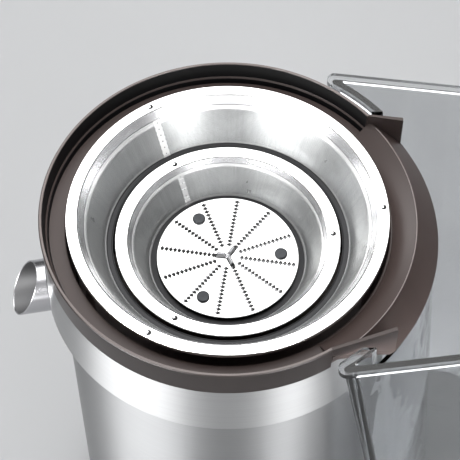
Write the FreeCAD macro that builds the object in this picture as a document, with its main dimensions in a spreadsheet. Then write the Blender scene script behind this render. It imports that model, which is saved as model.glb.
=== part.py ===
import FreeCAD, Part
import Sketcher
import math
import os
import re

# A centrifugal juicer with its lid off: motor base, juice bowl with spout, two nested sieve
# baskets with a grating disc, and a pulp bin. Millimetres, spindle axis on Z, counter at zero.

DIMENSIONS = {
    "flange_level": 318,
    "outer_flange_radius": 92,
    "outer_flange_bore": 85.25,
    "outer_sieve_foot_radius": 70.3,
    "outer_sieve_depth": 27.8,
    "outer_collar_depth": 5.4,
    "flange_sheet": 0.8,
    "flange_edge": 2.5,
    "sieve_sheet": 0.65,
    "shelf_bore": 66.6,
    "shelf_sheet": 1,
    "inner_flange_drop": 25.3,
    "inner_flange_radius": 65.3,
    "inner_flange_bore": 57.9,
    "inner_sieve_foot_radius": 45.4,
    "inner_sieve_foot_drop": 48,
    "inner_collar_depth": 3.3,
    "inner_flange_edge": 1.9,
    "disc_radius": 41.7,
    "disc_drop": 44.9,
    "disc_sheet": 1.1,
    "carrier_floor": 1.4,
    "carrier_boss_radius": 39,
    "tooth_rows": 12,
    "teeth_per_row": 13,
    "tooth_row_angle": 21,
    "tooth_first_radius": 8.4,
    "tooth_pitch": 2.55,
    "tooth_length": 1.5,
    "tooth_width": 1.3,
    "tooth_rise": 0.8,
    "rivet_circle": 31.4,
    "rivet_head_radius": 3.4,
    "rivet_head_rise": 1.5,
    "rivet_shank_radius": 1.8,
    "rivet_angle": 3,
    "blade_reach": 7.2,
    "blade_width": 1.8,
    "blade_rise": 3.2,
    "frame_floor_radius": 40,
    "frame_floor": 3.2,
    "frame_arm_width": 3.2,
    "hub_radius": 17,
    "hub_depth": 16.6,
    "coupling_flats": 20,
    "coupling_height": 14,
    "coupling_collar": 2,
    "coupling_clearance": 0.4,
    "rim_rise": 4,
    "rim_radius": 107.2,
    "rim_width": 1.9,
    "skirt_flare": 1.2,
    "seat_inset": 3.3,
    "seat_drop": 6.2,
    "ledge_inset": 5.1,
    "ledge_drop": 10.2,
    "ledge_thickness": 2,
    "chamber_radius": 92.8,
    "chamber_floor_radius": 86,
    "bowl_wall": 2.2,
    "bowl_floor": 3,
    "tower_bore": 19,
    "tower_wall": 2.4,
    "tower_gap": 3.4,
    "crease_radius": 107.5,
    "crease_drop": 3,
    "lip_radius": 121.3,
    "lip_drop": 19.3,
    "far_ear_start": 83.2,
    "far_ear_reach": 102.8,
    "far_ear_side": 67,
    "far_ear_end_side": 65.1,
    "near_ear_start": 57,
    "near_ear_reach": 92.4,
    "near_ear_side": 91.3,
    "near_ear_end_side": 78.6,
    "ear_wall": 2.2,
    "collar_inset": 0.6,
    "collar_sheet": 1,
    "collar_lip_width": 11.8,
    "parting_drop": 56.7,
    "parting_gap": 0.3,
    "spout_radius": 15.5,
    "spout_wall": 1.2,
    "spout_inset": 1.7,
    "spout_proud": 12.6,
    "spout_drop": 55,
    "spout_drop_at": 106,
    "spout_slope": 5,
    "spout_yaw": 7,
    "spout_mouth_lean": 27,
    "gasket_width": 1.4,
    "gasket_length": 14,
    "gasket_proud": 3.2,
    "spout_clearance": 0.2,
    "notch_clearance": 0.6,
    "deck_level": 242,
    "deck_thickness": 4,
    "deck_boss_radius": 13,
    "deck_boss_rise": 6,
    "housing_top_radius": 98.8,
    "housing_foot_radius": 96.4,
    "housing_wall": 1.5,
    "crown_height": 25,
    "foot_height": 7,
    "foot_bore": 84,
    "tray_floor": 3,
    "tray_rim_rise": 14,
    "tray_rim_wall": 2.5,
    "tray_bore": 12,
    "vent_inner_radius": 26,
    "vent_outer_radius": 60,
    "vent_width": 6,
    "vent_count": 12,
    "fit_gap": 0.4,
    "stator_radius": 62,
    "stator_bore": 36.6,
    "stator_foot_level": 96,
    "stator_height": 80,
    "winding_outer_radius": 56,
    "winding_bore": 41,
    "winding_height": 17,
    "bell_wall": 4,
    "upper_bell_level": 225,
    "lower_bell_level": 48,
    "bell_plate": 5,
    "bell_flange_radius": 82,
    "bearing_radius": 16,
    "bearing_height": 11,
    "bearing_seat_wall": 4,
    "window_count": 6,
    "window_width": 22,
    "damper_circle": 73,
    "damper_radius": 7,
    "damper_bore": 3.2,
    "bolt_head_radius": 5,
    "bolt_head_rise": 3,
    "shaft_radius": 7,
    "shaft_tip_radius": 6,
    "shaft_foot_level": 50,
    "shaft_running_gap": 0.05,
    "seal_gap": 0.3,
    "rotor_gap": 0.6,
    "rotor_end_ring": 6,
    "fan_level": 64,
    "fan_height": 10,
    "fan_radius": 46,
    "fan_blade": 2,
    "fan_blade_count": 8,
    "panel_width": 50,
    "panel_height": 92,
    "panel_level": 145,
    "panel_face": 102,
    "panel_depth": 11,
    "button_radius": 12,
    "button_spacing": 38,
    "button_proud": 4.5,
    "button_length": 12,
    "button_clearance": 0.4,
    "contact_gap": 4,
    "gland_level": 40,
    "gland_radius": 9,
    "gland_bore": 4,
    "gland_proud": 12,
    "capacitor_radius": 13.5,
    "capacitor_height": 70,
    "capacitor_circle": 77,
    "bin_rim_drop": 2,
    "bin_gap": 8.3,
    "bin_hug_growth": 22,
    "bin_half_width": 101,
    "bin_half_width_at": 60,
    "bin_side_taper": 0.13,
    "bin_far_reach": 205,
    "bin_far_bow": 22,
    "bin_draft": 12,
    "bin_wall": 2.4,
    "bin_floor": 3,
    "bin_lip": 2.6,
    "bin_lip_height": 4,
    "bin_corner": 2,
    "bin_inner_corner": 1,
    "bin_far_corner": 20,
    "bin_notch_near": 86,
    "bin_notch_far": 74,
    "bin_notch_drop": 27,
}

os.makedirs("parts", exist_ok=True)
doc = FreeCAD.newDocument("juicer")
sheet = doc.addObject("Spreadsheet::Sheet", "dims")
for row, (alias, value) in enumerate(DIMENSIONS.items(), 1):
    sheet.set(f"A{row}", alias)
    sheet.set(f"B{row}", str(value))
    sheet.setAlias(f"B{row}", alias)
doc.recompute()

NODES = []
WORD = re.compile(r"[a-z_]+")


def bound(text):
    """Expression text with every named size pointing at the sheet."""
    return WORD.sub(lambda word: f"dims.{word[0]}" if word[0] in DIMENSIONS else word[0], text)


def size(text):
    """Present value of an expression in the named sizes."""
    return float(sheet.evalExpression(bound(text)))


def node(thing, label):
    thing.Label = label
    NODES.append(thing)
    return thing


def new_body(label):
    return doc.addObject("PartDesign::Body", label)


def outline(body, label, plane, points):
    """Closed sketch of straight edges, each corner held by two named-size expressions."""
    sketch = body.newObject("Sketcher::SketchObject", label)
    support = next(item for item in body.Origin.OriginFeatures if item.Role == plane)
    sketch.AttachmentSupport = [(support, "")]
    sketch.MapMode = "FlatFace"
    corners = [FreeCAD.Vector(size(u), size(v), 0) for u, v in points]
    count = len(corners)
    for index in range(count):
        sketch.addGeometry(Part.LineSegment(corners[index], corners[(index + 1) % count]))
    for index in range(count):
        sketch.addConstraint(Sketcher.Constraint("Coincident", index, 2, (index + 1) % count, 1))
    for index, (across, along) in enumerate(points):
        for kind, text, value, axis in (
            ("DistanceX", across, corners[index].x, -2),
            ("DistanceY", along, corners[index].y, -1),
        ):
            if text == "0":
                sketch.addConstraint(Sketcher.Constraint("PointOnObject", index, 1, axis))
                continue
            held = sketch.addConstraint(Sketcher.Constraint(kind, -1, 1, index, 1, value))
            sketch.setExpression(f"Constraints[{held}]", bound(text))
    return sketch


def revolve(body, label, points, kind="PartDesign::Revolution"):
    """Turn an (r, z) outline right round Z, as material or as a cut."""
    sketch = outline(body, f"{label}_outline", "XZ_Plane", points)
    turn = body.newObject(kind, f"{label}_turn")
    turn.Profile = sketch
    turn.ReferenceAxis = (sketch, ["V_Axis"])
    turn.Angle = 360
    sketch.Visibility = False
    body.Tip = turn
    doc.recompute()
    return turn


def revolved(label, points):
    body = new_body(label)
    revolve(body, label, points)
    return node(body, label)


def pad(body, label, points, foot, top, kind="PartDesign::Pad"):
    """Pad or pocket a plan outline between two levels."""
    sketch = outline(body, f"{label}_plan", "XY_Plane", points)
    start = foot if kind == "PartDesign::Pad" else top
    sketch.setExpression("AttachmentOffset.Base.z", bound(start))
    feature = body.newObject(kind, f"{label}_run")
    feature.Profile = sketch
    feature.setExpression("Length", bound(f"({top}) - ({foot})"))
    sketch.Visibility = False
    body.Tip = feature
    doc.recompute()
    return feature


def polar(body, label, feature, count):
    """Repeat one feature round the body's Z axis."""
    axis = next(item for item in body.Origin.OriginFeatures if item.Role == "Z_Axis")
    pattern = body.newObject("PartDesign::PolarPattern", label)
    pattern.Originals = [feature]
    pattern.Axis = (axis, [""])
    pattern.Angle = 360
    pattern.setExpression("Occurrences", bound(count))
    body.Tip = pattern
    doc.recompute()
    return pattern


def cylinder(label, radius, height, at=("0", "0", "0"), turn=None):
    thing = doc.addObject("Part::Cylinder", label)
    thing.setExpression("Radius", bound(radius))
    thing.setExpression("Height", bound(height))
    if turn:
        thing.Placement.Rotation = turn
    for letter, text in zip("xyz", at):
        thing.setExpression(f"Placement.Base.{letter}", bound(text))
    return thing


def box(label, sides, at):
    thing = doc.addObject("Part::Box", label)
    for name, text in zip(("Length", "Width", "Height"), sides):
        thing.setExpression(name, bound(text))
    for letter, text in zip("xyz", at):
        thing.setExpression(f"Placement.Base.{letter}", bound(text))
    return thing


def cut(label, base, tool):
    thing = doc.addObject("Part::Cut", label)
    thing.Base = base
    thing.Tool = tool
    doc.recompute()
    return thing


def gather(label, pieces, kind="Part::Compound"):
    thing = doc.addObject(kind, label)
    if kind == "Part::Compound":
        thing.Links = pieces
    else:
        thing.Shapes = pieces
    doc.recompute()
    return thing


def ring_of(label, make, circle, count, first="0"):
    """Pieces at equal steps round the spindle; make(label, x, y) builds one."""
    pieces = []
    for index in range(count):
        angle = f"({first}) + {360 * index / count:g}"
        pieces.append(make(f"{label}_{index}", f"({circle})*cos({angle})", f"({circle})*sin({angle})"))
    return pieces


def solid_feature(label, shape):
    """A shape worked out from the sheet's sizes, with its place set after the shape."""
    thing = doc.addObject("Part::Feature", label)
    thing.Shape = shape
    thing.Placement = FreeCAD.Placement()
    return thing


TURN_TO_BACK = FreeCAD.Rotation(FreeCAD.Vector(1, 0, 0), -90)

# Levels that several pieces share.
RIM_BORE = "rim_radius - rim_width"
SKIRT = "rim_radius + skirt_flare"
COLLAR = "rim_radius + skirt_flare - collar_inset"
SPOUT_START = "chamber_floor_radius + bowl_wall - spout_inset"
SPOUT_REACH = f"{COLLAR} + spout_proud"
LEDGE = "flange_level - ledge_drop"
LEDGE_UNDER = "flange_level - ledge_drop - ledge_thickness"
PARTING = "flange_level - parting_drop"
HOUSING_TOP = "flange_level - parting_drop - parting_gap"
CARRIER_TOP = "flange_level - disc_drop - disc_sheet"
CARRIER_STEP = "flange_level - inner_sieve_foot_drop"
CARRIER_FOOT = "flange_level - inner_sieve_foot_drop - carrier_floor"
FRAME_UNDER = "flange_level - inner_sieve_foot_drop - carrier_floor - frame_floor"
HUB_FOOT = "flange_level - inner_sieve_foot_drop - carrier_floor - hub_depth"
STATOR_TOP = "stator_foot_level + stator_height"

# Outer basket.
OUTER_SLOPE = "(outer_flange_bore - outer_sieve_foot_radius)/outer_sieve_depth"
OUTER_COLLAR_FOOT = f"outer_flange_bore - outer_collar_depth*{OUTER_SLOPE}"
OUTER_FOOT = "flange_level - outer_sieve_depth"
revolved("outer_flange_ring", [
    ("outer_flange_bore", "flange_level"),
    ("outer_flange_radius", "flange_level"),
    ("outer_flange_radius", "flange_level - flange_edge"),
    ("outer_flange_radius - flange_sheet", "flange_level - flange_edge"),
    ("outer_flange_radius - flange_sheet", "flange_level - flange_sheet"),
    ("outer_flange_bore + 0.6*flange_sheet", "flange_level - flange_sheet"),
    (f"{OUTER_COLLAR_FOOT} + flange_sheet", "flange_level - outer_collar_depth"),
    (OUTER_COLLAR_FOOT, "flange_level - outer_collar_depth"),
])
revolved("outer_sieve", [
    (OUTER_COLLAR_FOOT, "flange_level - outer_collar_depth"),
    ("outer_sieve_foot_radius", OUTER_FOOT),
    ("outer_sieve_foot_radius + sieve_sheet", OUTER_FOOT),
    (f"{OUTER_COLLAR_FOOT} + sieve_sheet", "flange_level - outer_collar_depth"),
])
revolved("shelf_ring", [
    ("shelf_bore", OUTER_FOOT),
    ("outer_sieve_foot_radius + sieve_sheet", OUTER_FOOT),
    ("outer_sieve_foot_radius + sieve_sheet", f"{OUTER_FOOT} - shelf_sheet"),
    ("shelf_bore", f"{OUTER_FOOT} - shelf_sheet"),
])

frame_body = new_body("basket_frame_body")
revolve(frame_body, "frame_floor_disc", [
    ("0", CARRIER_FOOT),
    ("frame_floor_radius", CARRIER_FOOT),
    ("frame_floor_radius", FRAME_UNDER),
    ("hub_radius", FRAME_UNDER),
    ("hub_radius", HUB_FOOT),
    ("0", HUB_FOOT),
])
arm_plan = outline(frame_body, "arm_plan", "XZ_Plane", [
    ("frame_floor_radius - 3", CARRIER_FOOT),
    ("inner_sieve_foot_radius + 2", CARRIER_FOOT),
    ("shelf_bore - 1", f"{OUTER_FOOT} - shelf_sheet - 6"),
    ("shelf_bore", f"{OUTER_FOOT} - shelf_sheet"),
    ("outer_sieve_foot_radius", f"{OUTER_FOOT} - shelf_sheet"),
    ("outer_sieve_foot_radius", f"{OUTER_FOOT} - shelf_sheet - 7"),
    ("inner_sieve_foot_radius + 5", FRAME_UNDER),
    ("frame_floor_radius - 3", FRAME_UNDER),
])
arm = frame_body.newObject("PartDesign::Pad", "arm")
arm.Profile = arm_plan
arm.setExpression("Length", bound("frame_arm_width"))
arm.Midplane = True
arm_plan.Visibility = False
frame_body.Tip = arm
doc.recompute()
polar(frame_body, "arms", arm, "6")


def hexagon(flats):
    """Corner expressions of a hexagon with the given width across flats."""
    return [(f"({flats})/sqrt(3)*cos({60 * k})", f"({flats})/sqrt(3)*sin({60 * k})") for k in range(6)]


COUPLING_TOP = f"{HUB_FOOT} + coupling_height - coupling_collar - coupling_clearance"
pad(frame_body, "socket", hexagon("coupling_flats + 2*coupling_clearance"),
    f"{HUB_FOOT} - 1", f"{COUPLING_TOP} + coupling_clearance", "PartDesign::Pocket")
peg_holes = gather("peg_holes", ring_of(
    "peg_hole",
    lambda label, x, y: cylinder(label, "rivet_shank_radius + fit_gap", "1.6",
                                 (x, y, f"{CARRIER_FOOT} - 1.5")),
    "rivet_circle", 3, "rivet_angle"))
node(cut("basket_frame", frame_body, peg_holes), "basket_frame")

# Inner basket.
INNER_TOP = "flange_level - inner_flange_drop"
INNER_SLOPE = ("(inner_flange_bore - inner_sieve_foot_radius)"
               "/(inner_sieve_foot_drop - inner_flange_drop)")
INNER_COLLAR_FOOT = f"inner_flange_bore - inner_collar_depth*{INNER_SLOPE}"
revolved("inner_flange_ring", [
    ("inner_flange_bore", INNER_TOP),
    ("inner_flange_radius", INNER_TOP),
    ("inner_flange_radius", f"{INNER_TOP} - inner_flange_edge"),
    ("inner_flange_radius - flange_sheet", f"{INNER_TOP} - inner_flange_edge"),
    ("inner_flange_radius - flange_sheet", f"{INNER_TOP} - flange_sheet"),
    ("inner_flange_bore + 0.6*flange_sheet", f"{INNER_TOP} - flange_sheet"),
    (f"{INNER_COLLAR_FOOT} + flange_sheet", f"{INNER_TOP} - inner_collar_depth"),
    (INNER_COLLAR_FOOT, f"{INNER_TOP} - inner_collar_depth"),
])
revolved("inner_sieve", [
    (INNER_COLLAR_FOOT, f"{INNER_TOP} - inner_collar_depth"),
    ("inner_sieve_foot_radius", CARRIER_STEP),
    ("inner_sieve_foot_radius + sieve_sheet", CARRIER_STEP),
    (f"{INNER_COLLAR_FOOT} + sieve_sheet", f"{INNER_TOP} - inner_collar_depth"),
])
carrier_body = new_body("disc_carrier_body")
revolve(carrier_body, "carrier", [
    ("0", CARRIER_TOP),
    ("carrier_boss_radius", CARRIER_TOP),
    ("carrier_boss_radius", CARRIER_STEP),
    ("inner_sieve_foot_radius + sieve_sheet", CARRIER_STEP),
    ("inner_sieve_foot_radius + sieve_sheet", CARRIER_FOOT),
    ("0", CARRIER_FOOT),
])
SHANK_FOOT = f"{CARRIER_FOOT} - 1.1"
shank_holes = gather("shank_holes", ring_of(
    "shank_hole",
    lambda label, x, y: cylinder(label, "rivet_shank_radius", "disc_sheet + 9", (x, y, SHANK_FOOT)),
    "rivet_circle", 3, "rivet_angle"))
node(cut("disc_carrier", carrier_body, shank_holes), "disc_carrier")


def tooth(radius, angle):
    """A raised scale with a sharp front edge, standing on the disc."""
    half = size("tooth_width") / 2
    long = size("tooth_length")
    rise = size("tooth_rise")
    foot = size("flange_level - disc_drop")
    base = [FreeCAD.Vector(radius - half, 0, foot), FreeCAD.Vector(radius + half, 0, foot),
            FreeCAD.Vector(radius, -long, foot)]
    crest = FreeCAD.Vector(radius, 0, foot + rise)
    faces = [Part.Face(Part.makePolygon([a, b, c, a])) for a, b, c in (
        (base[0], base[1], base[2]), (base[0], base[1], crest),
        (base[1], base[2], crest), (base[2], base[0], crest))]
    scale = Part.Solid(Part.Shell(faces))
    scale.rotate(FreeCAD.Vector(), FreeCAD.Vector(0, 0, 1), angle)
    return scale


plate = Part.makeCylinder(size("disc_radius"), size("disc_sheet"),
                          FreeCAD.Vector(0, 0, size("flange_level - disc_drop - disc_sheet")))
teeth = []
for row in range(int(size("tooth_rows"))):
    for step in range(int(size("teeth_per_row"))):
        radius = size("tooth_first_radius") + step * size("tooth_pitch")
        teeth.append(tooth(radius, size("tooth_row_angle") + row * 360 / size("tooth_rows")))
grater = solid_feature("grater_plate", plate.fuse(teeth).cut(shank_holes.Shape))
node(grater, "grater_disc")

node(gather("disc_rivets", ring_of(
    "disc_rivet",
    lambda label, x, y: gather(label, [
        cylinder(f"{label}_shank", "rivet_shank_radius",
                 f"flange_level - disc_drop + 0.2 - ({SHANK_FOOT})", (x, y, SHANK_FOOT)),
        cylinder(f"{label}_head", "rivet_head_radius", "rivet_head_rise",
                 (x, y, "flange_level - disc_drop")),
    ], "Part::MultiFuse"),
    "rivet_circle", 3, "rivet_angle")), "disc_rivets")

blades = [cylinder("blade_hub", "blade_width", "blade_rise/2", ("0", "0", "flange_level - disc_drop"))]
for index in range(3):
    blade = box(f"blade_{index}", ("blade_reach", "blade_width", "blade_rise"),
                ("0", "0", "flange_level - disc_drop"))
    turn = FreeCAD.Rotation(FreeCAD.Vector(0, 0, 1), 55 + 120 * index)
    blade.Placement.Rotation = turn
    shift = turn.multVec(FreeCAD.Vector(0, -0.5, 0))
    blade.setExpression("Placement.Base.x", bound(f"{shift.x:.6f}*blade_width"))
    blade.setExpression("Placement.Base.y", bound(f"{shift.y:.6f}*blade_width"))
    blades.append(blade)
node(gather("centre_blades", blades, "Part::MultiFuse"), "centre_blades")


# Juice bowl in its sections, its steel collar and the spout.
def spout_run(radius, start, length):
    """A cylinder along the spout's axis, from one radius outward."""
    slope = math.radians(size("spout_slope"))
    yaw = math.radians(180 + size("spout_yaw"))
    level = size("flange_level - spout_drop") - (start - size("spout_drop_at")) * math.tan(slope)
    foot = FreeCAD.Vector(start * math.cos(yaw), start * math.sin(yaw), level)
    way = FreeCAD.Vector(math.cos(yaw) * math.cos(slope), math.sin(yaw) * math.cos(slope), -math.sin(slope))
    return Part.makeCylinder(radius, length, foot, way)


TOWER_TOP = f"{FRAME_UNDER} - tower_gap"
FLOOR_TOP = "deck_level + bowl_floor"
FLOOR_EDGE = "chamber_floor_radius - 5"
WALL_SLOPE = f"(chamber_radius - chamber_floor_radius)/({LEDGE} - ({FLOOR_TOP}) - 5)"
WALL_TOP = f"chamber_radius - ledge_thickness*{WALL_SLOPE}"
revolved("bowl_tower", [
    ("tower_bore", "deck_level"),
    ("tower_bore + tower_wall", "deck_level"),
    ("tower_bore + tower_wall", TOWER_TOP),
    ("tower_bore", TOWER_TOP),
])
revolved("bowl_floor", [
    ("tower_bore + tower_wall", "deck_level"),
    (FLOOR_EDGE, "deck_level"),
    (FLOOR_EDGE, FLOOR_TOP),
    ("tower_bore + tower_wall", FLOOR_TOP),
])
wall_body = new_body("juice_bowl_body")
revolve(wall_body, "bowl_wall_ring", [
    (FLOOR_EDGE, "deck_level"),
    ("chamber_floor_radius + bowl_wall - 3", "deck_level"),
    ("chamber_floor_radius + bowl_wall", "deck_level + 3"),
    ("chamber_radius + bowl_wall", LEDGE_UNDER),
    (WALL_TOP, LEDGE_UNDER),
    ("chamber_floor_radius", f"{FLOOR_TOP} + 5"),
    (FLOOR_EDGE, FLOOR_TOP),
])
spout_hole = solid_feature("spout_hole", spout_run(
    size("spout_radius + spout_clearance"), size("chamber_floor_radius - spout_radius"),
    size("chamber_radius - chamber_floor_radius + 2*spout_radius")))
node(cut("juice_bowl", wall_body, spout_hole), "juice_bowl")


def sector(body, label, points, first, last, kind):
    """Turn an (r, z) outline through the angles of the pulp exit."""
    sketch = outline(body, f"{label}_outline", "XZ_Plane", points)
    middle = FreeCAD.Rotation(FreeCAD.Vector(0, 1, 0), (first + last) / 2)
    sketch.AttachmentOffset = FreeCAD.Placement(FreeCAD.Vector(), middle)
    feature = body.newObject(kind, label)
    feature.Profile = sketch
    feature.ReferenceAxis = (sketch, ["V_Axis"])
    feature.Angle = last - first
    feature.Midplane = True
    sketch.Visibility = False
    body.Tip = feature
    doc.recompute()
    return feature


rim_body = new_body("bowl_rim_body")
revolve(rim_body, "rim_ring", [
    (WALL_TOP, LEDGE_UNDER),
    (SKIRT, LEDGE_UNDER),
    ("rim_radius", "flange_level + rim_rise - 0.6"),
    ("rim_radius - 0.6", "flange_level + rim_rise"),
    (RIM_BORE, "flange_level + rim_rise"),
    ("rim_radius - seat_inset", "flange_level - seat_drop"),
    ("rim_radius - ledge_inset + 0.8", "flange_level - seat_drop - 0.4"),
    ("rim_radius - ledge_inset", LEDGE),
    ("chamber_radius", LEDGE),
])
FAR_ANGLE = math.degrees(math.atan2(size("far_ear_side"), size("far_ear_start")))
NEAR_ANGLE = -math.degrees(math.atan2(size("near_ear_side"), size("near_ear_start")))
whole = rim_body.Shape.Volume
sector(rim_body, "exit_gap", [
    ("rim_radius - ledge_inset - 0.2", LEDGE),
    (f"{SKIRT} + 1", LEDGE),
    (f"{SKIRT} + 1", "flange_level + rim_rise + 1"),
    ("rim_radius - ledge_inset - 0.2", "flange_level + rim_rise + 1"),
], NEAR_ANGLE, FAR_ANGLE, "PartDesign::Groove")
print("exit gap removed", whole - rim_body.Shape.Volume)
node(rim_body, "bowl_rim")

# The lip over which pulp leaves rises from the ledge to a crease and falls outside the rim.
LIP_EDGE = "flange_level - lip_drop"
lip_body = new_body("exit_lip_body")
sector(lip_body, "lip_sheet", [
    ("chamber_radius + 1", LEDGE),
    ("crease_radius", "flange_level - crease_drop"),
    ("lip_radius", LIP_EDGE),
    ("lip_radius - 1.6", f"{LIP_EDGE} - 1.4"),
    ("crease_radius - 0.6", "flange_level - crease_drop - 3"),
    ("crease_radius - 0.6", LEDGE),
], NEAR_ANGLE, FAR_ANGLE, "PartDesign::Revolution")
lipped = lip_body.Shape.Volume
EAR_FOOT = f"{LIP_EDGE} - 1.4"
FAR_SLOPE = "(far_ear_end_side - far_ear_side)/(far_ear_reach - far_ear_start)"
NEAR_SLOPE = "(near_ear_side - near_ear_end_side)/(near_ear_reach - near_ear_start)"
pad(lip_body, "far_trim", [
    ("far_ear_start", "far_ear_side"),
    ("far_ear_reach + 40", f"far_ear_side + (far_ear_reach + 40 - far_ear_start)*{FAR_SLOPE}"),
    ("far_ear_reach + 40", "far_ear_side + 60"),
    ("far_ear_start", "far_ear_side + 60"),
], f"{EAR_FOOT} - 1", "flange_level - 0.5", "PartDesign::Pocket")
pad(lip_body, "near_trim", [
    ("near_ear_start", "0 - near_ear_side"),
    ("near_ear_start", "0 - near_ear_side - 60"),
    ("near_ear_reach + 50", "0 - near_ear_side - 60"),
    ("near_ear_reach + 50", f"0 - near_ear_side + (near_ear_reach + 50 - near_ear_start)*{NEAR_SLOPE}"),
], f"{EAR_FOOT} - 1", "flange_level - 0.5", "PartDesign::Pocket")
print("lip", lipped, "trimmed", lipped - lip_body.Shape.Volume)
node(lip_body, "exit_lip")


def rim_corner(radius, along, across, sign):
    """A point on an end of the rim, a little way back into the rim."""
    span = f"sqrt({along}^2 + {across}^2)"
    return (f"(({radius})*{along} - 0.5*{across})/{span}",
            f"{sign}(({radius})*{across} + 0.5*{along})/{span}")


far_ear = new_body("far_ear_body")
pad(far_ear, "far_ear", [
    rim_corner("rim_radius - 0.1", "far_ear_start", "far_ear_side", ""),
    ("far_ear_reach", "far_ear_end_side"),
    ("far_ear_reach", "far_ear_end_side - ear_wall"),
    rim_corner(f"{RIM_BORE} + 0.05", "far_ear_start", "far_ear_side", ""),
], EAR_FOOT, "flange_level + rim_rise")
near_ear = new_body("near_ear_body")
pad(near_ear, "near_ear", [
    rim_corner("rim_radius - 0.1", "near_ear_start", "near_ear_side", "0 - "),
    ("near_ear_reach", "0 - near_ear_end_side"),
    ("near_ear_reach - 0.5", "0 - near_ear_end_side + ear_wall"),
    rim_corner(f"{RIM_BORE} + 0.05", "near_ear_start", "near_ear_side", "0 - "),
], EAR_FOOT, "flange_level + rim_rise")
under_ears = new_body("under_ears")
revolve(under_ears, "under_lip", [
    ("chamber_radius + 1", f"{EAR_FOOT} - 2"),
    ("chamber_radius + 1", LEDGE),
    ("crease_radius", "flange_level - crease_drop"),
    ("lip_radius", LIP_EDGE),
    ("lip_radius + 3", LIP_EDGE),
    ("lip_radius + 3", f"{EAR_FOOT} - 2"),
])
around_ears = gather("around_ears", [under_ears, rim_body], "Part::MultiFuse")
node(gather("exit_ears", [cut("far_exit_ear", far_ear, around_ears),
                          cut("near_exit_ear", near_ear, around_ears)]), "exit_ears")

collar_body = new_body("bowl_collar_body")
revolve(collar_body, "collar", [
    (COLLAR, LEDGE_UNDER),
    (COLLAR, PARTING),
    (f"{COLLAR} - collar_lip_width", PARTING),
    (f"{COLLAR} - collar_lip_width", f"{PARTING} + collar_sheet"),
    (f"{COLLAR} - collar_sheet", f"{PARTING} + collar_sheet"),
    (f"{COLLAR} - collar_sheet", LEDGE_UNDER),
])
gasket_hole = solid_feature("gasket_hole", spout_run(
    size("spout_radius + gasket_width"), size(f"{COLLAR} - collar_lip_width - 4"),
    size("collar_lip_width + 2*spout_radius")))
node(cut("bowl_collar", collar_body, gasket_hole), "bowl_collar")

tube = spout_run(size("spout_radius"), size(SPOUT_START),
                 size(f"{SPOUT_REACH} - ({SPOUT_START}) + 2*spout_radius"))
tube = tube.cut(spout_run(size("spout_radius - spout_wall"), size(f"{SPOUT_START} - 5"),
                         size(f"{SPOUT_REACH} - ({SPOUT_START}) + 3*spout_radius")))
mouth = Part.makeBox(120, 120, 120, FreeCAD.Vector(0, -60, -60))
mouth.rotate(FreeCAD.Vector(), FreeCAD.Vector(0, 1, 0), -size("spout_mouth_lean"))
mouth.translate(FreeCAD.Vector(size(SPOUT_REACH), 0, size("flange_level - spout_drop - 1")))
mouth.rotate(FreeCAD.Vector(), FreeCAD.Vector(0, 0, 1), 180 + size("spout_yaw"))
node(solid_feature("spout_tube", tube.cut(mouth)), "juice_spout")
GASKET_FOOT = size(f"{COLLAR} + gasket_proud - gasket_length")
gasket = spout_run(size("spout_radius + gasket_width"), GASKET_FOOT, size("gasket_length"))
gasket = gasket.cut(spout_run(size("spout_radius"), GASKET_FOOT - 5, size("gasket_length + 10")))
node(solid_feature("gasket_ring", gasket), "spout_gasket")

# Pulp bin: it hugs the bowl, tapers outward and narrows toward the counter.
def bin_outline(level, drop, inset):
    """Closed plan at one level; drop runs from 0 at the rim to 1 at the counter."""
    hug = size("rim_radius + bin_gap") + drop * size("bin_hug_growth") + inset
    taper = size("bin_side_taper")
    side = size("bin_half_width + bin_half_width_at*bin_side_taper") - drop * size("bin_draft")
    side = side - inset * math.hypot(1, taper)
    far = size("bin_far_reach") - drop * size("bin_draft") - inset
    shoulder = far - size("bin_far_bow")
    inner = side * taper + math.sqrt((side * taper) ** 2 - (1 + taper ** 2) * (side ** 2 - hug ** 2))
    near_x = inner / (1 + taper ** 2)
    near_y = side - taper * near_x
    far_y = side - taper * shoulder

    def at(x, y):
        return FreeCAD.Vector(x, y, level)

    edges = [
        Part.Arc(at(near_x, -near_y), at(hug, 0), at(near_x, near_y)).toShape(),
        Part.makeLine(at(near_x, near_y), at(shoulder, far_y)),
        Part.Arc(at(shoulder, far_y), at(far, 0), at(shoulder, -far_y)).toShape(),
        Part.makeLine(at(shoulder, -far_y), at(near_x, -near_y)),
    ]
    return Part.Wire(edges)


def rounded(solid, near, far):
    """Round the four upright corners: two beside the bowl and two at the far end."""
    upright = []
    for edge in solid.Edges:
        box_of = edge.BoundBox
        if len(edge.Vertexes) == 2 and box_of.ZLength > 1:
            upright.append(edge)
    middle = sum(edge.CenterOfMass.x for edge in upright) / len(upright)
    inner_edges = [edge for edge in upright if edge.CenterOfMass.x < middle]
    outer_edges = [edge for edge in upright if edge.CenterOfMass.x > middle]
    return solid.makeFillet(near, inner_edges).makeFillet(
        far, [edge for edge in solid.makeFillet(near, inner_edges).Edges
              if any(edge.CenterOfMass.distanceToPoint(other.CenterOfMass) < 0.5
                     for other in outer_edges)])


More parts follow.
